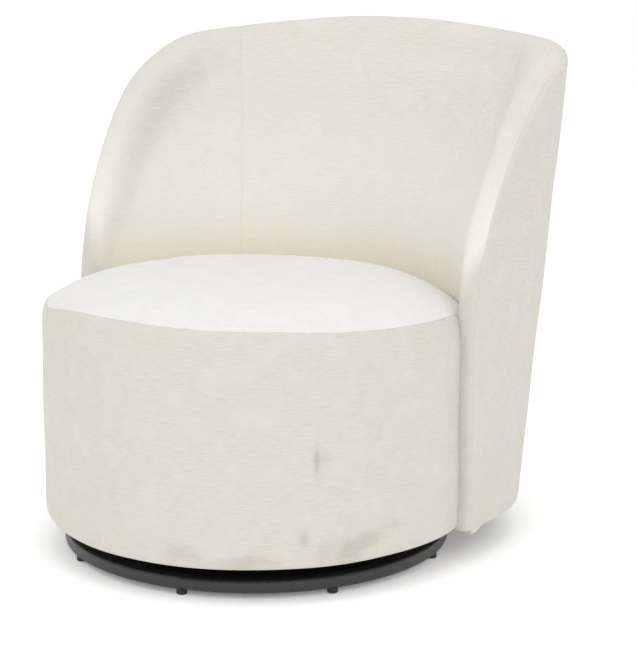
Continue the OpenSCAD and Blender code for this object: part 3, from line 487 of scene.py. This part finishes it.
def chenille(name, light, hollow, pale, marks=(), strength=0.4, bounce_cast_share=0.0, painted_light_share=0.0,
             edge_shade_share=0.0):
    """The cloth's finish: its yarns' light and hollow colours, and a pale one for its mottling."""
    finish, tree, shader = new_finish(
        name, Roughness=0.92, Specular_IOR_Level=0.2, Sheen_Weight=0.12, Sheen_Roughness=0.5)
    weave = add_node(tree, "ShaderNodeUVMap", uv_map="weave").outputs["UV"]
    slow = add_node(tree, "ShaderNodeMapping", {
        "Vector": weave, "Scale": (1 / drift_length, 1 / drift_height, 1)}).outputs["Vector"]
    drift = add_node(tree, "ShaderNodeTexNoise", {"Vector": slow, "Scale": 1.0, "Detail": 1.0},
                     noise_dimensions="2D").outputs["Fac"]
    sway = vector_maths(tree, "MULTIPLY", drift, (0, drift_depth * 2, 0))[0]
    wavy = vector_maths(tree, "ADD", weave, sway)[0]
    spread = add_node(tree, "ShaderNodeMapping", {
        "Vector": wavy, "Scale": (1 / slub_length, 1 / slub_height, 1)}).outputs["Vector"]
    slubs = add_node(tree, "ShaderNodeTexNoise", {
        "Vector": spread, "Scale": 1.0, "Detail": 2.0, "Roughness": slub_rough,
        "Distortion": slub_waver}, noise_dimensions="2D").outputs["Fac"]
    ribs = add_node(tree, "ShaderNodeTexWave", {
        "Vector": wavy, "Scale": wave_period / rib_spacing, "Distortion": rib_waver, "Detail": 2.0,
        "Detail Scale": 0.6}, wave_type="BANDS", bands_direction="Y").outputs["Fac"]
    body = object_coords(tree)
    pile, patches = (add_node(tree, "ShaderNodeTexNoise", {
        "Vector": body, "Scale": 1 / size, "Detail": detail}).outputs["Fac"]
        for size, detail in ((pile_size, 2.0), (mottle_size, 3.0)))
    yarn = maths(tree, "MULTIPLY_ADD", ribs, rib_share, slubs)
    height = maths(tree, "MULTIPLY_ADD", pile, pile_share, yarn)
    shade = add_node(tree, "ShaderNodeMapRange", {0: height, 1: yarn_low, 2: yarn_high}).outputs[0]
    colour = tint(tree, shade, linear(hollow), linear(light))
    patch = add_node(tree, "ShaderNodeMapRange", {
        0: patches, 1: mottle_low, 2: mottle_high, 3: 0.0, 4: mottle_share}).outputs[0]
    colour = tint(tree, patch, colour, linear(pale))
    # Painted shade darkens the rolled edge. On the wall within, painted light makes it paler low down,
    # where the seat and wings shade it, with a painted warm cast of bounced light where the cloth meets
    # the seat
    up = add_node(tree, "ShaderNodeSeparateXYZ", {0: body}).outputs["Z"]
    round_by = maths(tree, "ABSOLUTE", add_node(tree, "ShaderNodeSeparateXYZ", {0: weave}).outputs["X"])
    within = soft_range(tree, round_by, (wall_round - wall_fade, wall_round), (1.0, 0.0))
    edge = maths(tree, "MULTIPLY_ADD", -edge_shade_share, within, edge_shade_share)
    colour = tint(tree, edge, colour, linear("B9B6AC"))
    # Painted light: paler low on the inside wall, standing in for light the seat and wings hold off
    painted_light = soft_range(tree, up, (painted_light_low, painted_light_high), (painted_light_share, 0.0))
    colour = tint(tree, maths(tree, "MULTIPLY", painted_light, within), colour, linear("F6F3E8"))
    # Painted light: a warm cast of light bounced in the crease where the wall meets the seat
    from_tan = maths(tree, "ABSOLUTE", maths(tree, "SUBTRACT", up, tan_z))
    tan = soft_range(tree, from_tan, (tan_core, tan_reach), (bounce_cast_share, 0.0))
    colour = tint(tree, maths(tree, "MULTIPLY", tan, within), colour, linear("E9CFA6"))
    # Darker marks on the cloth, each a ragged oval at its place on the cloth
    for place_on_cloth, half_size, depth in marks:
        away = vector_maths(tree, "SUBTRACT", weave, (*place_on_cloth, 0))[0]
        share = vector_maths(tree, "MULTIPLY", away, (1 / half_size[0], 1 / half_size[1], 0))[0]
        reach = vector_maths(tree, "LENGTH", share)["Value"]
        ragged = maths(tree, "MULTIPLY_ADD", patches, ragged_by, reach)
        mark = soft_range(tree, ragged, (mark_core, mark_rim), (depth, 0.0))
        colour = tint(tree, mark, colour, linear("8D8878"))
    tree.links.new(colour, shader.inputs["Base Color"])
    bump = add_node(tree, "ShaderNodeBump", {
        "Height": height, "Strength": strength, "Distance": cloth_depth})
    tree.links.new(bump.outputs["Normal"], shader.inputs["Normal"])
    return finish


ivory = chenille("ivory_chenille", "D1CFC5", "C7C4B8", "D2D0CA")
# The inside cloth is painted a little paler than the outside one: painted light for its shaded inside
ivory_inside = chenille("ivory_chenille_inside", "D5D3CA", "CCC9BE", "D6D4CF", bounce_cast_share=0.16,
                        painted_light_share=0.5, edge_shade_share=0.35)

# Outside panel of the back: one piece of cloth stretched round the boards, turned
# under at the bottom and sewn to the inside panels along the outer seam. At the
# bottom front corner the stuffing sags a little under the hem.
hem_round, hem_turn_in, corner_turn_in, corner_reach = 0.007, 0.024, 0.010, (2.6, 3)
low_z = skirt_z + hem_round
roll_r, wall_r, plan_z = 0.0165, 0.33, 0.4
turn_step = math.radians(1) * roll_r
wing_inset = edge_round / (corner_low - wing_y)
fan_power, hem_step = 1.4, 0.01
corner_sag, notch_rise, notch_reach = 0.006, 0.003, 0.006
bulge_from, bulge_fade = (0, 0.008), (0.022, 0.06)
plan_u = np.linspace(0, 2, 201)
plan_line = outer_point(plan_u, plan_z)
plan_arc = np.concatenate([[0], np.cumsum(np.linalg.norm(np.diff(plan_line, axis=0), axis=1))])


def low_place(w):
    """Where on the outer face's foot the cloth of a place on the edge ends, as it fans out."""
    return np.where(w < 1, mix(wing_inset, 1, (np.clip(w + 1, 0, 2) / 2) ** fan_power), w)


def roll_inwards(w, turn):
    """The level way in from a point of the rounded edge."""
    return unit((round_point(w, turn, probe_in) - round_point(w, turn)) * [1, 1, 0])


def outside_surface(s, t):
    """s runs from -3 at the left wing's foot to 3 at the right one, with 0 at the rear. t runs
    from 0 at the face's foot over 1 at its top to 2 at the seam."""
    side, w = np.where(s < 0, -1.0, 1.0), 2 - np.abs(s)
    top = round_point(w, 0 * w)
    k = np.clip(t, 0, 1)
    u = mix(low_place(w), place(top), k)
    z = mix(low_z, np.maximum(top[:, 2], low_z), k)
    turn = np.clip(t - 1, 0, 1) * seam_turn(w)
    to_seam = np.where(t > 2, 2 - t, (seam_turn(w) - turn) * turn_step)
    rolled = round_point(w, turn, seam_dip(to_seam))
    p = np.where((t > 1)[:, None], rolled, outer_point(u, z))
    p[:, 2] = np.where((t > 1) & (p[:, 2] < low_z), low_z, p[:, 2])
    arc = np.interp(u, plan_u, plan_arc) - plan_arc[-1]
    cloth = np.stack([side * (arc - turn * turn_step), p[:, 2]], -1)
    return mirrored(p, side), cloth


def hem(p, inwards, stage, deep, sag):
    """Carries a point of a panel's bottom border round the hem: down by stage 1, in by stage 2."""
    under = np.clip(stage, 0, 1) * math.pi / 2
    inset = hem_round * (1 - np.cos(under)) + np.clip(stage - 1, 0, 1) * deep
    p = p + inwards * inset[:, None]
    p[:, 2] -= (hem_round + sag) * np.sin(under)
    return p


def hem_sag(distance):
    """How much lower the hem hangs at a distance from the outer seam, along the bottom."""
    bulge = smooth(*bulge_from, distance) * (1 - smooth(*bulge_fade, distance))
    return corner_sag * bulge - notch_rise * (1 - smooth(0, notch_reach, distance))


def outside_hem(q, stage):
    """q runs along the bottom border, from -4 at the left outer seam to 4 at the right one."""
    side, reach = np.where(q < 0, -1.0, 1.0), np.abs(q)
    s, t = np.minimum(reach, 3), np.where(reach > 3, reach - 2, 0)
    p, cloth = outside_surface(s, t)
    w = 2 - s
    u = low_place(w)
    inwards = np.where((reach > 3)[:, None], roll_inwards(w, (t - 1) * seam_turn(w)), -outward(u, low_z))
    along_face = np.interp(u, plan_u, plan_arc) - np.interp(wing_inset, plan_u, plan_arc)
    from_seam = np.where(reach > 3, (4 - reach) * seam_turn(w), seam_turn(-1.0)) * turn_step
    from_seam = from_seam + np.where(reach > 3, 0, along_face)
    deep = mix(hem_turn_in, corner_turn_in, smooth(*corner_reach, reach))
    p = hem(p, inwards, stage, deep, hem_sag(from_seam))
    return mirrored(p, side), np.stack([side * cloth[:, 0], cloth[:, 1] - stage * hem_step], -1)


half_out = np.concatenate([np.linspace(0, 1, 27)[:-1], np.linspace(1, 2, 41)[:-1],
                           np.linspace(2, 3, 31)])
hem_stages = [2, 1.5, 1, 0.8, 0.6, 0.4, 0.2]
roll_out = np.array([0.08, 0.2, 0.36, 0.52, 0.68, 0.8, 0.88, 0.94, 0.98, 1, 1.0001, 1.001])
outside = lay_panel(
    "outside_back_panel", np.concatenate([-half_out[:0:-1], half_out]),
    np.concatenate([np.linspace(0, 1, 41), 1 + roll_out]), outside_surface, turned=True)
half_hem = np.concatenate([half_out, 3 + roll_out[roll_out <= 1]])
hem_strip = lay_panel(
    "outside_back_hem", np.concatenate([-half_hem[:0:-1], half_hem]),
    np.array([*hem_stages, 0]), outside_hem, turned=True)
bpy.ops.object.select_all(action="DESELECT")
hem_strip.select_set(True)
outside.select_set(True)
bpy.context.view_layer.objects.active = outside
bpy.ops.object.join()
upholster(outside, ivory)
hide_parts("outside_back_cover")
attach(outside, "seat")

# Inside of the back: a middle panel between two seams, over foam. It comes up from
# behind the seat, leans out to the crest, and rolls over it to the outer seam.
seam_bearing, seam_lean, lean_reach, lean_spread = 33.7, 1.6, 0.3, 30
wall_low, wall_least, tuck_reach = 0.330, 0.02, 0.03
round_share, foot_fade, foot_reach = 0.85, 0.8, 0.07
foot_foam = ([-1, 0, 0.3, 1, 2], [0, 0.005, 0.020, 0.030, 0.028])
foam_steps, roll_stop = ((-1, 1), (-0.5, 2), (0, 3), (0.5, 2), (1, 1)), 0.99
roll_rows = np.array([0, 0.04, 0.09, 0.155, 0.225, 0.3, 0.385, 0.475, 0.565, 0.655, 0.74, 0.81, 0.87,
                      0.915, 0.945, 0.968, 0.984, 0.993, 0.998, 1, 1.0001, 1.001])


def roll_length(w):
    return round_share * edge_width(w) + inner_drop(w)


def past_foot(w, foot, b, distance, inwards):
    """Point of the inside cover at a distance past the edge's foot, or down the wall if negative."""
    past = distance / roll_length(w)
    turn = 180 - np.clip(past, 0, 1) * (180 - seam_turn(w))
    over = seam_dip(np.where(past > 1, 1 - past, (turn - seam_turn(w)) * turn_step))
    dip = np.maximum(over, seam_dip(inwards * np.radians(seam_bearing - b) * wall_r))
    down = np.minimum(distance, 0)
    # The seam up the inside leans a little, and the cloth beside it with it
    near = 1 - smooth(0, lean_spread, np.abs(b - seam_bearing))
    leant = b + seam_lean * smooth(0, lean_reach, -down) * near
    wall = inside_point(leant, foot[:, 2] + down, dip)
    # Below the sweep the panel tucks in behind the drum instead of running down
    wall = np.where((w < 0)[:, None], foot + crest_dir(w) * down[:, None], wall)
    drawn = inside_radius(b, foot[:, 2]) - np.hypot(foot[:, 0], foot[:, 1])
    drawn = drawn * (1 - smooth(0, foot_fade, past))
    drawn = np.where(w < 0, 0, drawn)[:, None] * unit(foot * [1, 1, 0])
    return np.where((distance > 0)[:, None], round_point(w, turn, dip) + drawn, wall)


def inside_surface(s, t, inwards):
    """s is as outside, and past 3 it carries on round the hem; t runs from 0 behind the seat, over
    1 at the edge's foot, to 2 at the seam. The foam rounds off the bend at the foot."""
    side, w = np.where(s < 0, -1.0, 1.0), 2 - np.abs(s)
    stage, w = np.maximum(0, -1 - w), np.maximum(w, -1)
    foot = foot_point(w)
    b = bearing(foot)
    wall_reach = np.where(w < 0, tuck_reach, foot[:, 2] - np.minimum(wall_low, foot[:, 2] - wall_least))
    length = roll_length(w)
    distance = np.where(t > 1, (t - 1) * length, (t - 1) * wall_reach)
    near_foot = 1 - np.where(t > 1, smooth(0, foot_fade, t - 1), smooth(0, foot_reach, -distance))
    soft = near_foot * along_edge(w, *foot_foam)
    p, shares = np.zeros((len(w), 3)), sum(share for _, share in foam_steps)
    for shift, share in foam_steps:
        moved = distance + shift * soft
        moved = np.where((t <= 2) & (soft > 0), np.minimum(moved, roll_stop * length), moved)
        p += past_foot(w, foot, b, np.where(soft > 0, moved, distance), inwards) * share / shares
    p[:, 2] = np.where((w < 0) & (p[:, 2] < low_z), low_z, p[:, 2])
    turn = 180 - np.clip(t - 1, 0, 1) * (180 - seam_turn(w))
    inward_way = np.where((t > 1)[:, None], roll_inwards(w, turn), side_out(w) * [1, 1, 0])
    from_seam = (turn - seam_turn(w)) * turn_step
    sag = np.where(t > 1, -notch_rise * (1 - smooth(0, notch_reach, from_seam)), 0)
    p = np.where((stage > 0)[:, None], hem(p, inward_way, stage, corner_turn_in, sag), p)
    level = np.abs(crest_dir(w)[:, 2])
    rolled = np.clip(t - 1, 0, 1) * roll_length(w)
    up = np.where(t > 1, foot[:, 2], foot[:, 2] + np.minimum(distance, 0)) + rolled * level
    cloth = np.stack([side * (np.radians(b) * wall_r + rolled * (1 - level)), up], -1)
    return mirrored(p, side), cloth


seam_w = float(np.interp(seam_bearing, table_b, table_w))
near_seam = np.array([-0.004, -0.0004, 0, 0.003, 0.007, 0.012, 0.02, 0.03, 0.045])
to_rear = np.concatenate([seam_w + near_seam, np.linspace(seam_w + 0.06, 2, 30)])
rear_s = 2 - to_rear
middle = lay_panel(
    "inside_back_panel",
    np.concatenate([-rear_s[:-1], rear_s[::-1]]),
    np.concatenate([np.linspace(0, 1, 37)[:-1], 1 + roll_rows]),
    lambda s, t: inside_surface(s, t, 1))
upholster(middle, ivory_inside)
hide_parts("inside_back_cover", "back_foam")
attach(middle, "seat")

# Wing panels: each starts at a seam of the inside back, lines the wing, and wraps
# round its swept front edge to the outer seam, down to the hem beside the drum.
wing_w = np.concatenate([-1 - np.array(hem_stages), np.linspace(-1, -0.06, 34),
                         [-0.03, 0, 0.02, 0.04, 0.06], np.linspace(0.08, seam_w - 0.06, 62),
                         seam_w - near_seam[::-1]])
for side_name, sign in (("left", -1), ("right", 1)):
    wing = lay_panel(
        side_name + "_wing_panel", sign * (2 - wing_w),
        np.concatenate([np.linspace(0, 1, 30)[:-1], 1 + roll_rows]),
        lambda s, t: inside_surface(s, t, -1), turned=sign > 0)
    upholster(wing, ivory_inside)
    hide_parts(side_name + "_wing_cover", *(["back_edge_roll"] if sign > 0 else []))
    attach(wing, "seat")

# Seat: a round foam pad under a crowned chenille top, sewn to the drum's band along
# a seam that falls a little to the rear. Its rear nests between the wings.
drum_r, shoulder_in, shoulder_drop = 0.307, 0.006, 0.030
band_clear, nest_gap, band_under = 0.0006, 0.0005, 0.0003
seat_r = drum_r - shoulder_in - band_clear
nest_end, round_from, round_to = table_b[-1], 3, 2
seam_front_z, seat_tilt, crown_rise = 0.383, math.radians(3.8), 0.042
crown_power, crown_fall, crown_lean, crown_half = 5, 1.08, 0.17, 0.3
deck_z, deck_slope, deck_in = 0.299, 0.2, 0.0045
left_sag, sag_starts, sag_ends, sag_power = 0.0134, (200, 235), (285, 300), 4


def seam_z(y):
    return seam_front_z - math.tan(seat_tilt) * (y + drum_r)


def seam_sag(b):
    """How far the seat's seam has settled on the chair's worn side."""
    b = b % 360
    return left_sag * smooth(*sag_starts, b) * (1 - smooth(*sag_ends, b))


def seat_radius(b):
    """Radius of the seat's seam, which fills the nest and is rounded in front of the wings."""
    b = np.abs((b + 180) % 360 - 180)
    nested = nest_radius(np.minimum(b, nest_end)) - nest_gap
    return mix(nested, seat_r, smooth(nest_end - round_from, nest_end + round_to, b))


def seat_surface(b, t):
    """b is the bearing; t runs from 0 at the middle to 1 at the seam, to 2 down the side and to
    3 back to the middle underneath."""
    share = np.where(t <= 1, t, np.where(t < 2, 1, 3 - t))
    dip = np.where(t <= 1, seam_dip((1 - t) * seat_r, seat_dip, seat_dip_width),
                   np.minimum(seat_dip + (t - 1) * deck_slope, deck_in))
    r = (seat_radius(b) - dip) * share
    x, y = r * np.sin(np.radians(b)), r * np.cos(np.radians(b))
    crown = crown_rise * np.maximum(0, 1 - share ** crown_power) ** crown_fall
    crown = crown * (1 + crown_lean * x / crown_half)
    edge = seam_z(y) - seam_sag(b) * share ** sag_power
    z = np.where(t <= 1, edge + crown, mix(edge, deck_z, np.clip(t - 1, 0, 1)))
    return np.stack([x, y, z], -1), np.stack([x, y], -1)


crown_rows = [0, 0.06, 0.13, 0.2, 0.28, 0.36, 0.44, 0.52, 0.59, 0.66, 0.72, 0.77, 0.82, 0.86, 0.895,
              0.92, 0.94, 0.956, 0.969, 0.979, 0.987, 0.992, 0.996, 0.9985, 0.9996, 1]
deck_rows = [1.003, 1.02, 1.3, 1.7, 1.95, 2, 2.3, 3]
seat = lay_panel("seat_pad", np.linspace(0, 360, 145), np.array(crown_rows + deck_rows), seat_surface)
edit_mesh((bpy.ops.mesh.remove_doubles, {"threshold": pole_within}),
          (bpy.ops.mesh.normals_make_consistent, {"inside": False}))
# The seat's cloth is painted paler and whiter than the rest: painted light on the top, where the light
# falls most
ivory_seat_painted_lit = chenille("ivory_chenille_of_seat", "E1E0DD", "D9D8D4", "E4E3E2", strength=0.25)
upholster(seat, ivory_seat_painted_lit, wall=0)
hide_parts("seat_cover", "seat_foam")
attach(seat, "seat")

# Drum: a band of the same cloth over thin foam, from the seat's seam down round the
# bottom edge, where it is turned under and stapled. It ends behind the wings' edges.
drum_round, drum_turn_in = 0.016, 0.012
flank, flank_drop, flank_fade = 0.009, 0.054, (88, 116)
end_x, end_y = 0.301, 0.062
drum_end = math.degrees(math.atan2(end_x, end_y))
# Each mark's place round and up the band, its half size, and its depth
drum_marks = (
    ((0.7065, 0.205), (0.026, 0.012), 0.14), ((0.7165, 0.202), (0.005, 0.028), 0.30),
    ((0.714, 0.188), (0.010, 0.024), 0.12), ((0.733, 0.094), (0.010, 0.020), 0.22),
    ((0.674, 0.070), (0.028, 0.034), 0.30), ((0.640, 0.082), (0.024, 0.016), 0.24),
    ((0.705, 0.066), (0.020, 0.022), 0.18), ((0.820, 0.062), (0.060, 0.014), 0.22),
    ((0.905, 0.070), (0.040, 0.016), 0.18), ((0.60, 0.095), (0.024, 0.012), 0.12))


def drum_surface(b, t):
    """b is the bearing; t runs from -2 under the bottom over 0 at the side's foot to 1 at the seam,
    and past it for the allowance behind."""
    rad = np.radians(b)
    under = np.clip(-t, 0, 1) * math.pi / 2
    top = seam_z(drum_r * np.cos(rad)) - seam_sag(b) - band_under
    z = mix(skirt_z + drum_round, top, np.clip(t, 0, 1)) - drum_round * np.sin(under)
    r = drum_r - drum_round * (1 - np.cos(under)) - np.clip(-1 - t, 0, 1) * drum_turn_in
    # The foam rounds off the top, and swells where the band is pulled in behind the wings
    beside = 1 - smooth(*flank_fade, np.minimum(b, 360 - b))
    k = np.clip(1 - (top - z) / mix(shoulder_drop, flank_drop, beside), 0, 1)
    inset = np.maximum(drum_r + flank * beside - seat_radius(b) - band_clear, 0)
    r = r + flank * beside - inset * (1 - np.sqrt(1 - k * k))
    r = r - seam_dip(np.where(t > 1, 1 - t, top - z), seat_dip, seat_dip_width)
    p = np.stack([r * np.sin(rad), r * np.cos(rad), z], -1)
    return p, np.stack([rad * drum_r, z], -1)


top_rows = [0.92, 0.94, 0.955, 0.967, 0.977, 0.985, 0.99, 0.994, 0.9975, 1, 1.0001, 1.0007]
drum = lay_panel(
    "drum_band", np.linspace(drum_end, 360 - drum_end, 161),
    np.concatenate([[-stage for stage in hem_stages], np.linspace(0, 0.9, 30), top_rows]),
    drum_surface, turned=True)
upholster(drum, chenille("ivory_chenille_of_drum", "D0CEC4", "C7C4B8", "D2D0CB", marks=drum_marks))
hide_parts("drum_cover", "drum_foam")
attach(drum, "seat")

# Dust cloths: thin black non-woven cloth, stapled under the drum and under the back.
# The back's one is held at both borders and hangs a little between them.
cloth_z, cloth_wall, cloth_hang, hang_power = 0.0474, 0.0008, 0.0012, 3
drum_cloth_in, drum_cloth_out = 0.1384, 0.2800
nest_clear, back_cloth_inset, back_cloth_front = 0.290, 0.0116, 0.0727
speckle_size = 0.0015
black_cloth, cloth_tree, cloth_shader = new_finish("black_non_woven_cloth", Roughness=0.9)
speckle = add_node(cloth_tree, "ShaderNodeTexNoise", {
    "Vector": object_coords(cloth_tree), "Scale": 1 / speckle_size, "Detail": 3.0}).outputs["Fac"]
cloth_tree.links.new(tint(cloth_tree, speckle, linear("18181A"), linear("2C2C2E")),
                     cloth_shader.inputs["Base Color"])


def drum_cloth_surface(b, t):
    r, rad = mix(drum_cloth_in, drum_cloth_out, t), np.radians(b)
    p = np.stack([r * np.sin(rad), r * np.cos(rad), 0 * r + cloth_z], -1)
    return p, p[:, :2]


def back_cloth_surface(s, t):
    """s runs from -1 at the left wing over 0 at the rear to 1; t from the drum out to the hem."""
    side = np.where(s < 0, -1.0, 1.0)
    front_u = (back_cloth_front - wing_y) / (corner_low - wing_y)
    u = mix(2.0, front_u, np.abs(s))
    far = outer_point(u, skirt_z) - outward(u, skirt_z) * back_cloth_inset
    p = mix(nest_clear * unit(far * [1, 1, 0]), far, t[:, None])
    p[:, 2] = cloth_z + cloth_hang * np.abs(2 * t - 1) ** hang_power
    p = mirrored(p, side)
    return p, p[:, :2]


for cloth_name, covers, spans, surface in (
        ("drum_dust_cloth", "dust_cover", np.linspace(0, 360, 73), drum_cloth_surface),
        ("back_dust_cloth", "back_dust_cover", np.linspace(-1, 1, 61), back_cloth_surface)):
    dust_cloth = lay_panel(cloth_name, spans, np.linspace(0, 1, 9), surface)
    upholster(dust_cloth, black_cloth, wall=0)
    edit_mesh((bpy.ops.mesh.normals_make_consistent, {"inside": False}))
    apply_modifier(dust_cloth, "SOLIDIFY", thickness=cloth_wall, offset=0)
    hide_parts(covers)
    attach(dust_cloth, "seat")

# Webbing: elastic straps with dark stripes, five each way, woven over and under one
# another across the seat's frame.
strap_w, strap_wall, strap_pitch, strap_z = 0.050, 0.0015, 0.095, 0.2975
strap_halves = (0.139, 0.2261, 0.2548, 0.2261, 0.139)
strap_stripe, cross_fade = 0.0125, (0.28, 0.72)
webbing, webbing_tree, webbing_shader = new_finish("elastic_webbing", Roughness=0.8)
strap_weave = add_node(webbing_tree, "ShaderNodeUVMap", uv_map="weave").outputs["UV"]
stripes = add_node(webbing_tree, "ShaderNodeTexWave", {
    "Vector": strap_weave, "Scale": wave_period / strap_stripe},
    wave_type="BANDS", bands_direction="X").outputs["Fac"]
webbing_tree.links.new(tint(webbing_tree, stripes, linear("2E2E32"), linear("5A5A60")),
                       webbing_shader.inputs["Base Color"])


def over_under(v):
    """Which side of the middle a strap passes on, changing from one crossing to the next."""
    k = np.floor(v)
    return (1 - 2 * (k % 2)) * (1 - 2 * smooth(*cross_fade, v - k))


for strap_name, covers, turn_x in (("lengthwise_straps", "webbing_lengthwise", 1),
                                   ("crosswise_straps", "webbing_crosswise", -1)):
    straps = []
    for number, half in enumerate(strap_halves):
        def strap_surface(s, t, number=number, half=half):
            across, along = (number - 2) * strap_pitch + s * strap_w / 2, t * half
            z = strap_z + turn_x * (-1) ** number * over_under(along / strap_pitch) * strap_wall / 2
            flat = np.stack([s * strap_w / 2, along], -1)
            return np.stack([across, along, z] if turn_x > 0 else [along, across, z], -1), flat

        straps.append(lay_panel(
            f"{strap_name}_{number}", [-1, 0, 1], np.linspace(-1, 1, 61), strap_surface))
    bpy.ops.object.select_all(action="DESELECT")
    for strap in straps:
        strap.select_set(True)
    bpy.context.view_layer.objects.active = straps[0]
    bpy.ops.object.join()
    strapping = straps[0]
    strapping.name = strapping.data.name = strap_name
    apply_modifier(strapping, "SOLIDIFY", thickness=strap_wall, offset=0)
    strapping.data.materials.append(webbing)
    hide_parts(covers)
    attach(strapping, "seat")


# Finishes of the pieces that come from the frame as they are: one noise each, in the
# material's own size and drawn out along its grain.
grain_strength = 0.2


def dress(finish, *names):
    for name in names:
        nodes[name].data.materials.clear()
        nodes[name].data.materials.append(finish)


def grained(name, dark, light, size, depth, stretch=(1, 1, 1), **sockets):
    """A finish whose colour and surface follow one noise, drawn out along the grain."""
    finish, tree, shader = new_finish(name, **sockets)
    coords = add_node(tree, "ShaderNodeMapping", {
        "Vector": object_coords(tree), "Scale": tuple(k / size for k in stretch)}).outputs["Vector"]
    grain = add_node(tree, "ShaderNodeTexNoise", {
        "Vector": coords, "Scale": 1.0, "Detail": 3.0}).outputs["Fac"]
    tree.links.new(tint(tree, grain, linear(dark), linear(light)), shader.inputs["Base Color"])
    bump = add_node(tree, "ShaderNodeBump", {
        "Height": grain, "Strength": grain_strength, "Distance": depth})
    tree.links.new(bump.outputs["Normal"], shader.inputs["Normal"])
    return finish


# Floor ring and cross bars: steel, welded and powder coated in satin black, which
# leaves a faint orange peel and a soft reflection.
dress(grained("black_powder_coat", "212123", "262628", 0.0022, 0.0003, Roughness=0.42,
              Coat_Weight=0.1, Coat_Roughness=0.3),
      "base_ring", "cross_bar_long", "cross_bar_left", "cross_bar_right")

# Glides: black polyethylene, moulded with a matt skin that hardly shines, so it is
# a little darker than the coated ring above it.
dress(grained("black_moulded_plastic", "1B1B1C", "232324", 0.001, 0.0001, Roughness=0.6), "glides")

# Swivel and fasteners: pressed and turned steel, zinc plated. The plating is a little
# cloudy, so it shines softly.
dress(grained("zinc_plated_steel", "9DA0A3", "B9BCBE", 0.012, 0.0002, Metallic=1.0, Roughness=0.38),
      "swivel_lower_plate", "base_bolts", "base_nuts", "pivot_rivet", "ball_cage",
      "swivel_upper_plate", "seat_bolts", "tee_nuts", "back_bolts", "back_washers", "back_nuts")

# Bearing balls: ground and polished chrome steel under a film of grease, almost a
# mirror, with only the faintest marks.
dress(grained("polished_bearing_steel", "CFCFD2", "D8D8DA", 0.004, 0.00002, Metallic=1.0,
              Roughness=0.12), "bearing_balls")

# Boards of the drum and rails of the back: raw birch plywood, with a long face grain
# across the chair.
dress(grained("birch_plywood", "C9AC7E", "DCC397", 0.006, 0.0003, stretch=(0.12, 1, 1),
              Roughness=0.75),
      "drum_base_board", "drum_top_ring", "back_bottom_rail", "back_middle_rail", "back_edge_rail")

# Posts and uprights: planed pine, its grain running up the post, in bands of light
# and darker wood.
dress(grained("planed_pine", "CFA974", "E2C797", 0.005, 0.0003, stretch=(1, 1, 0.08), Roughness=0.7),
      "drum_posts", "back_posts", "back_uprights")

# Bent panels of the drum and the back: brown fibreboard, finely flecked, without a
# grain of its own.
dress(grained("brown_fibreboard", "8A6846", "A3805A", 0.0025, 0.0002, Roughness=0.8),
      "drum_front_panel", "drum_rear_panel", "back_outer_board", "back_inner_board")
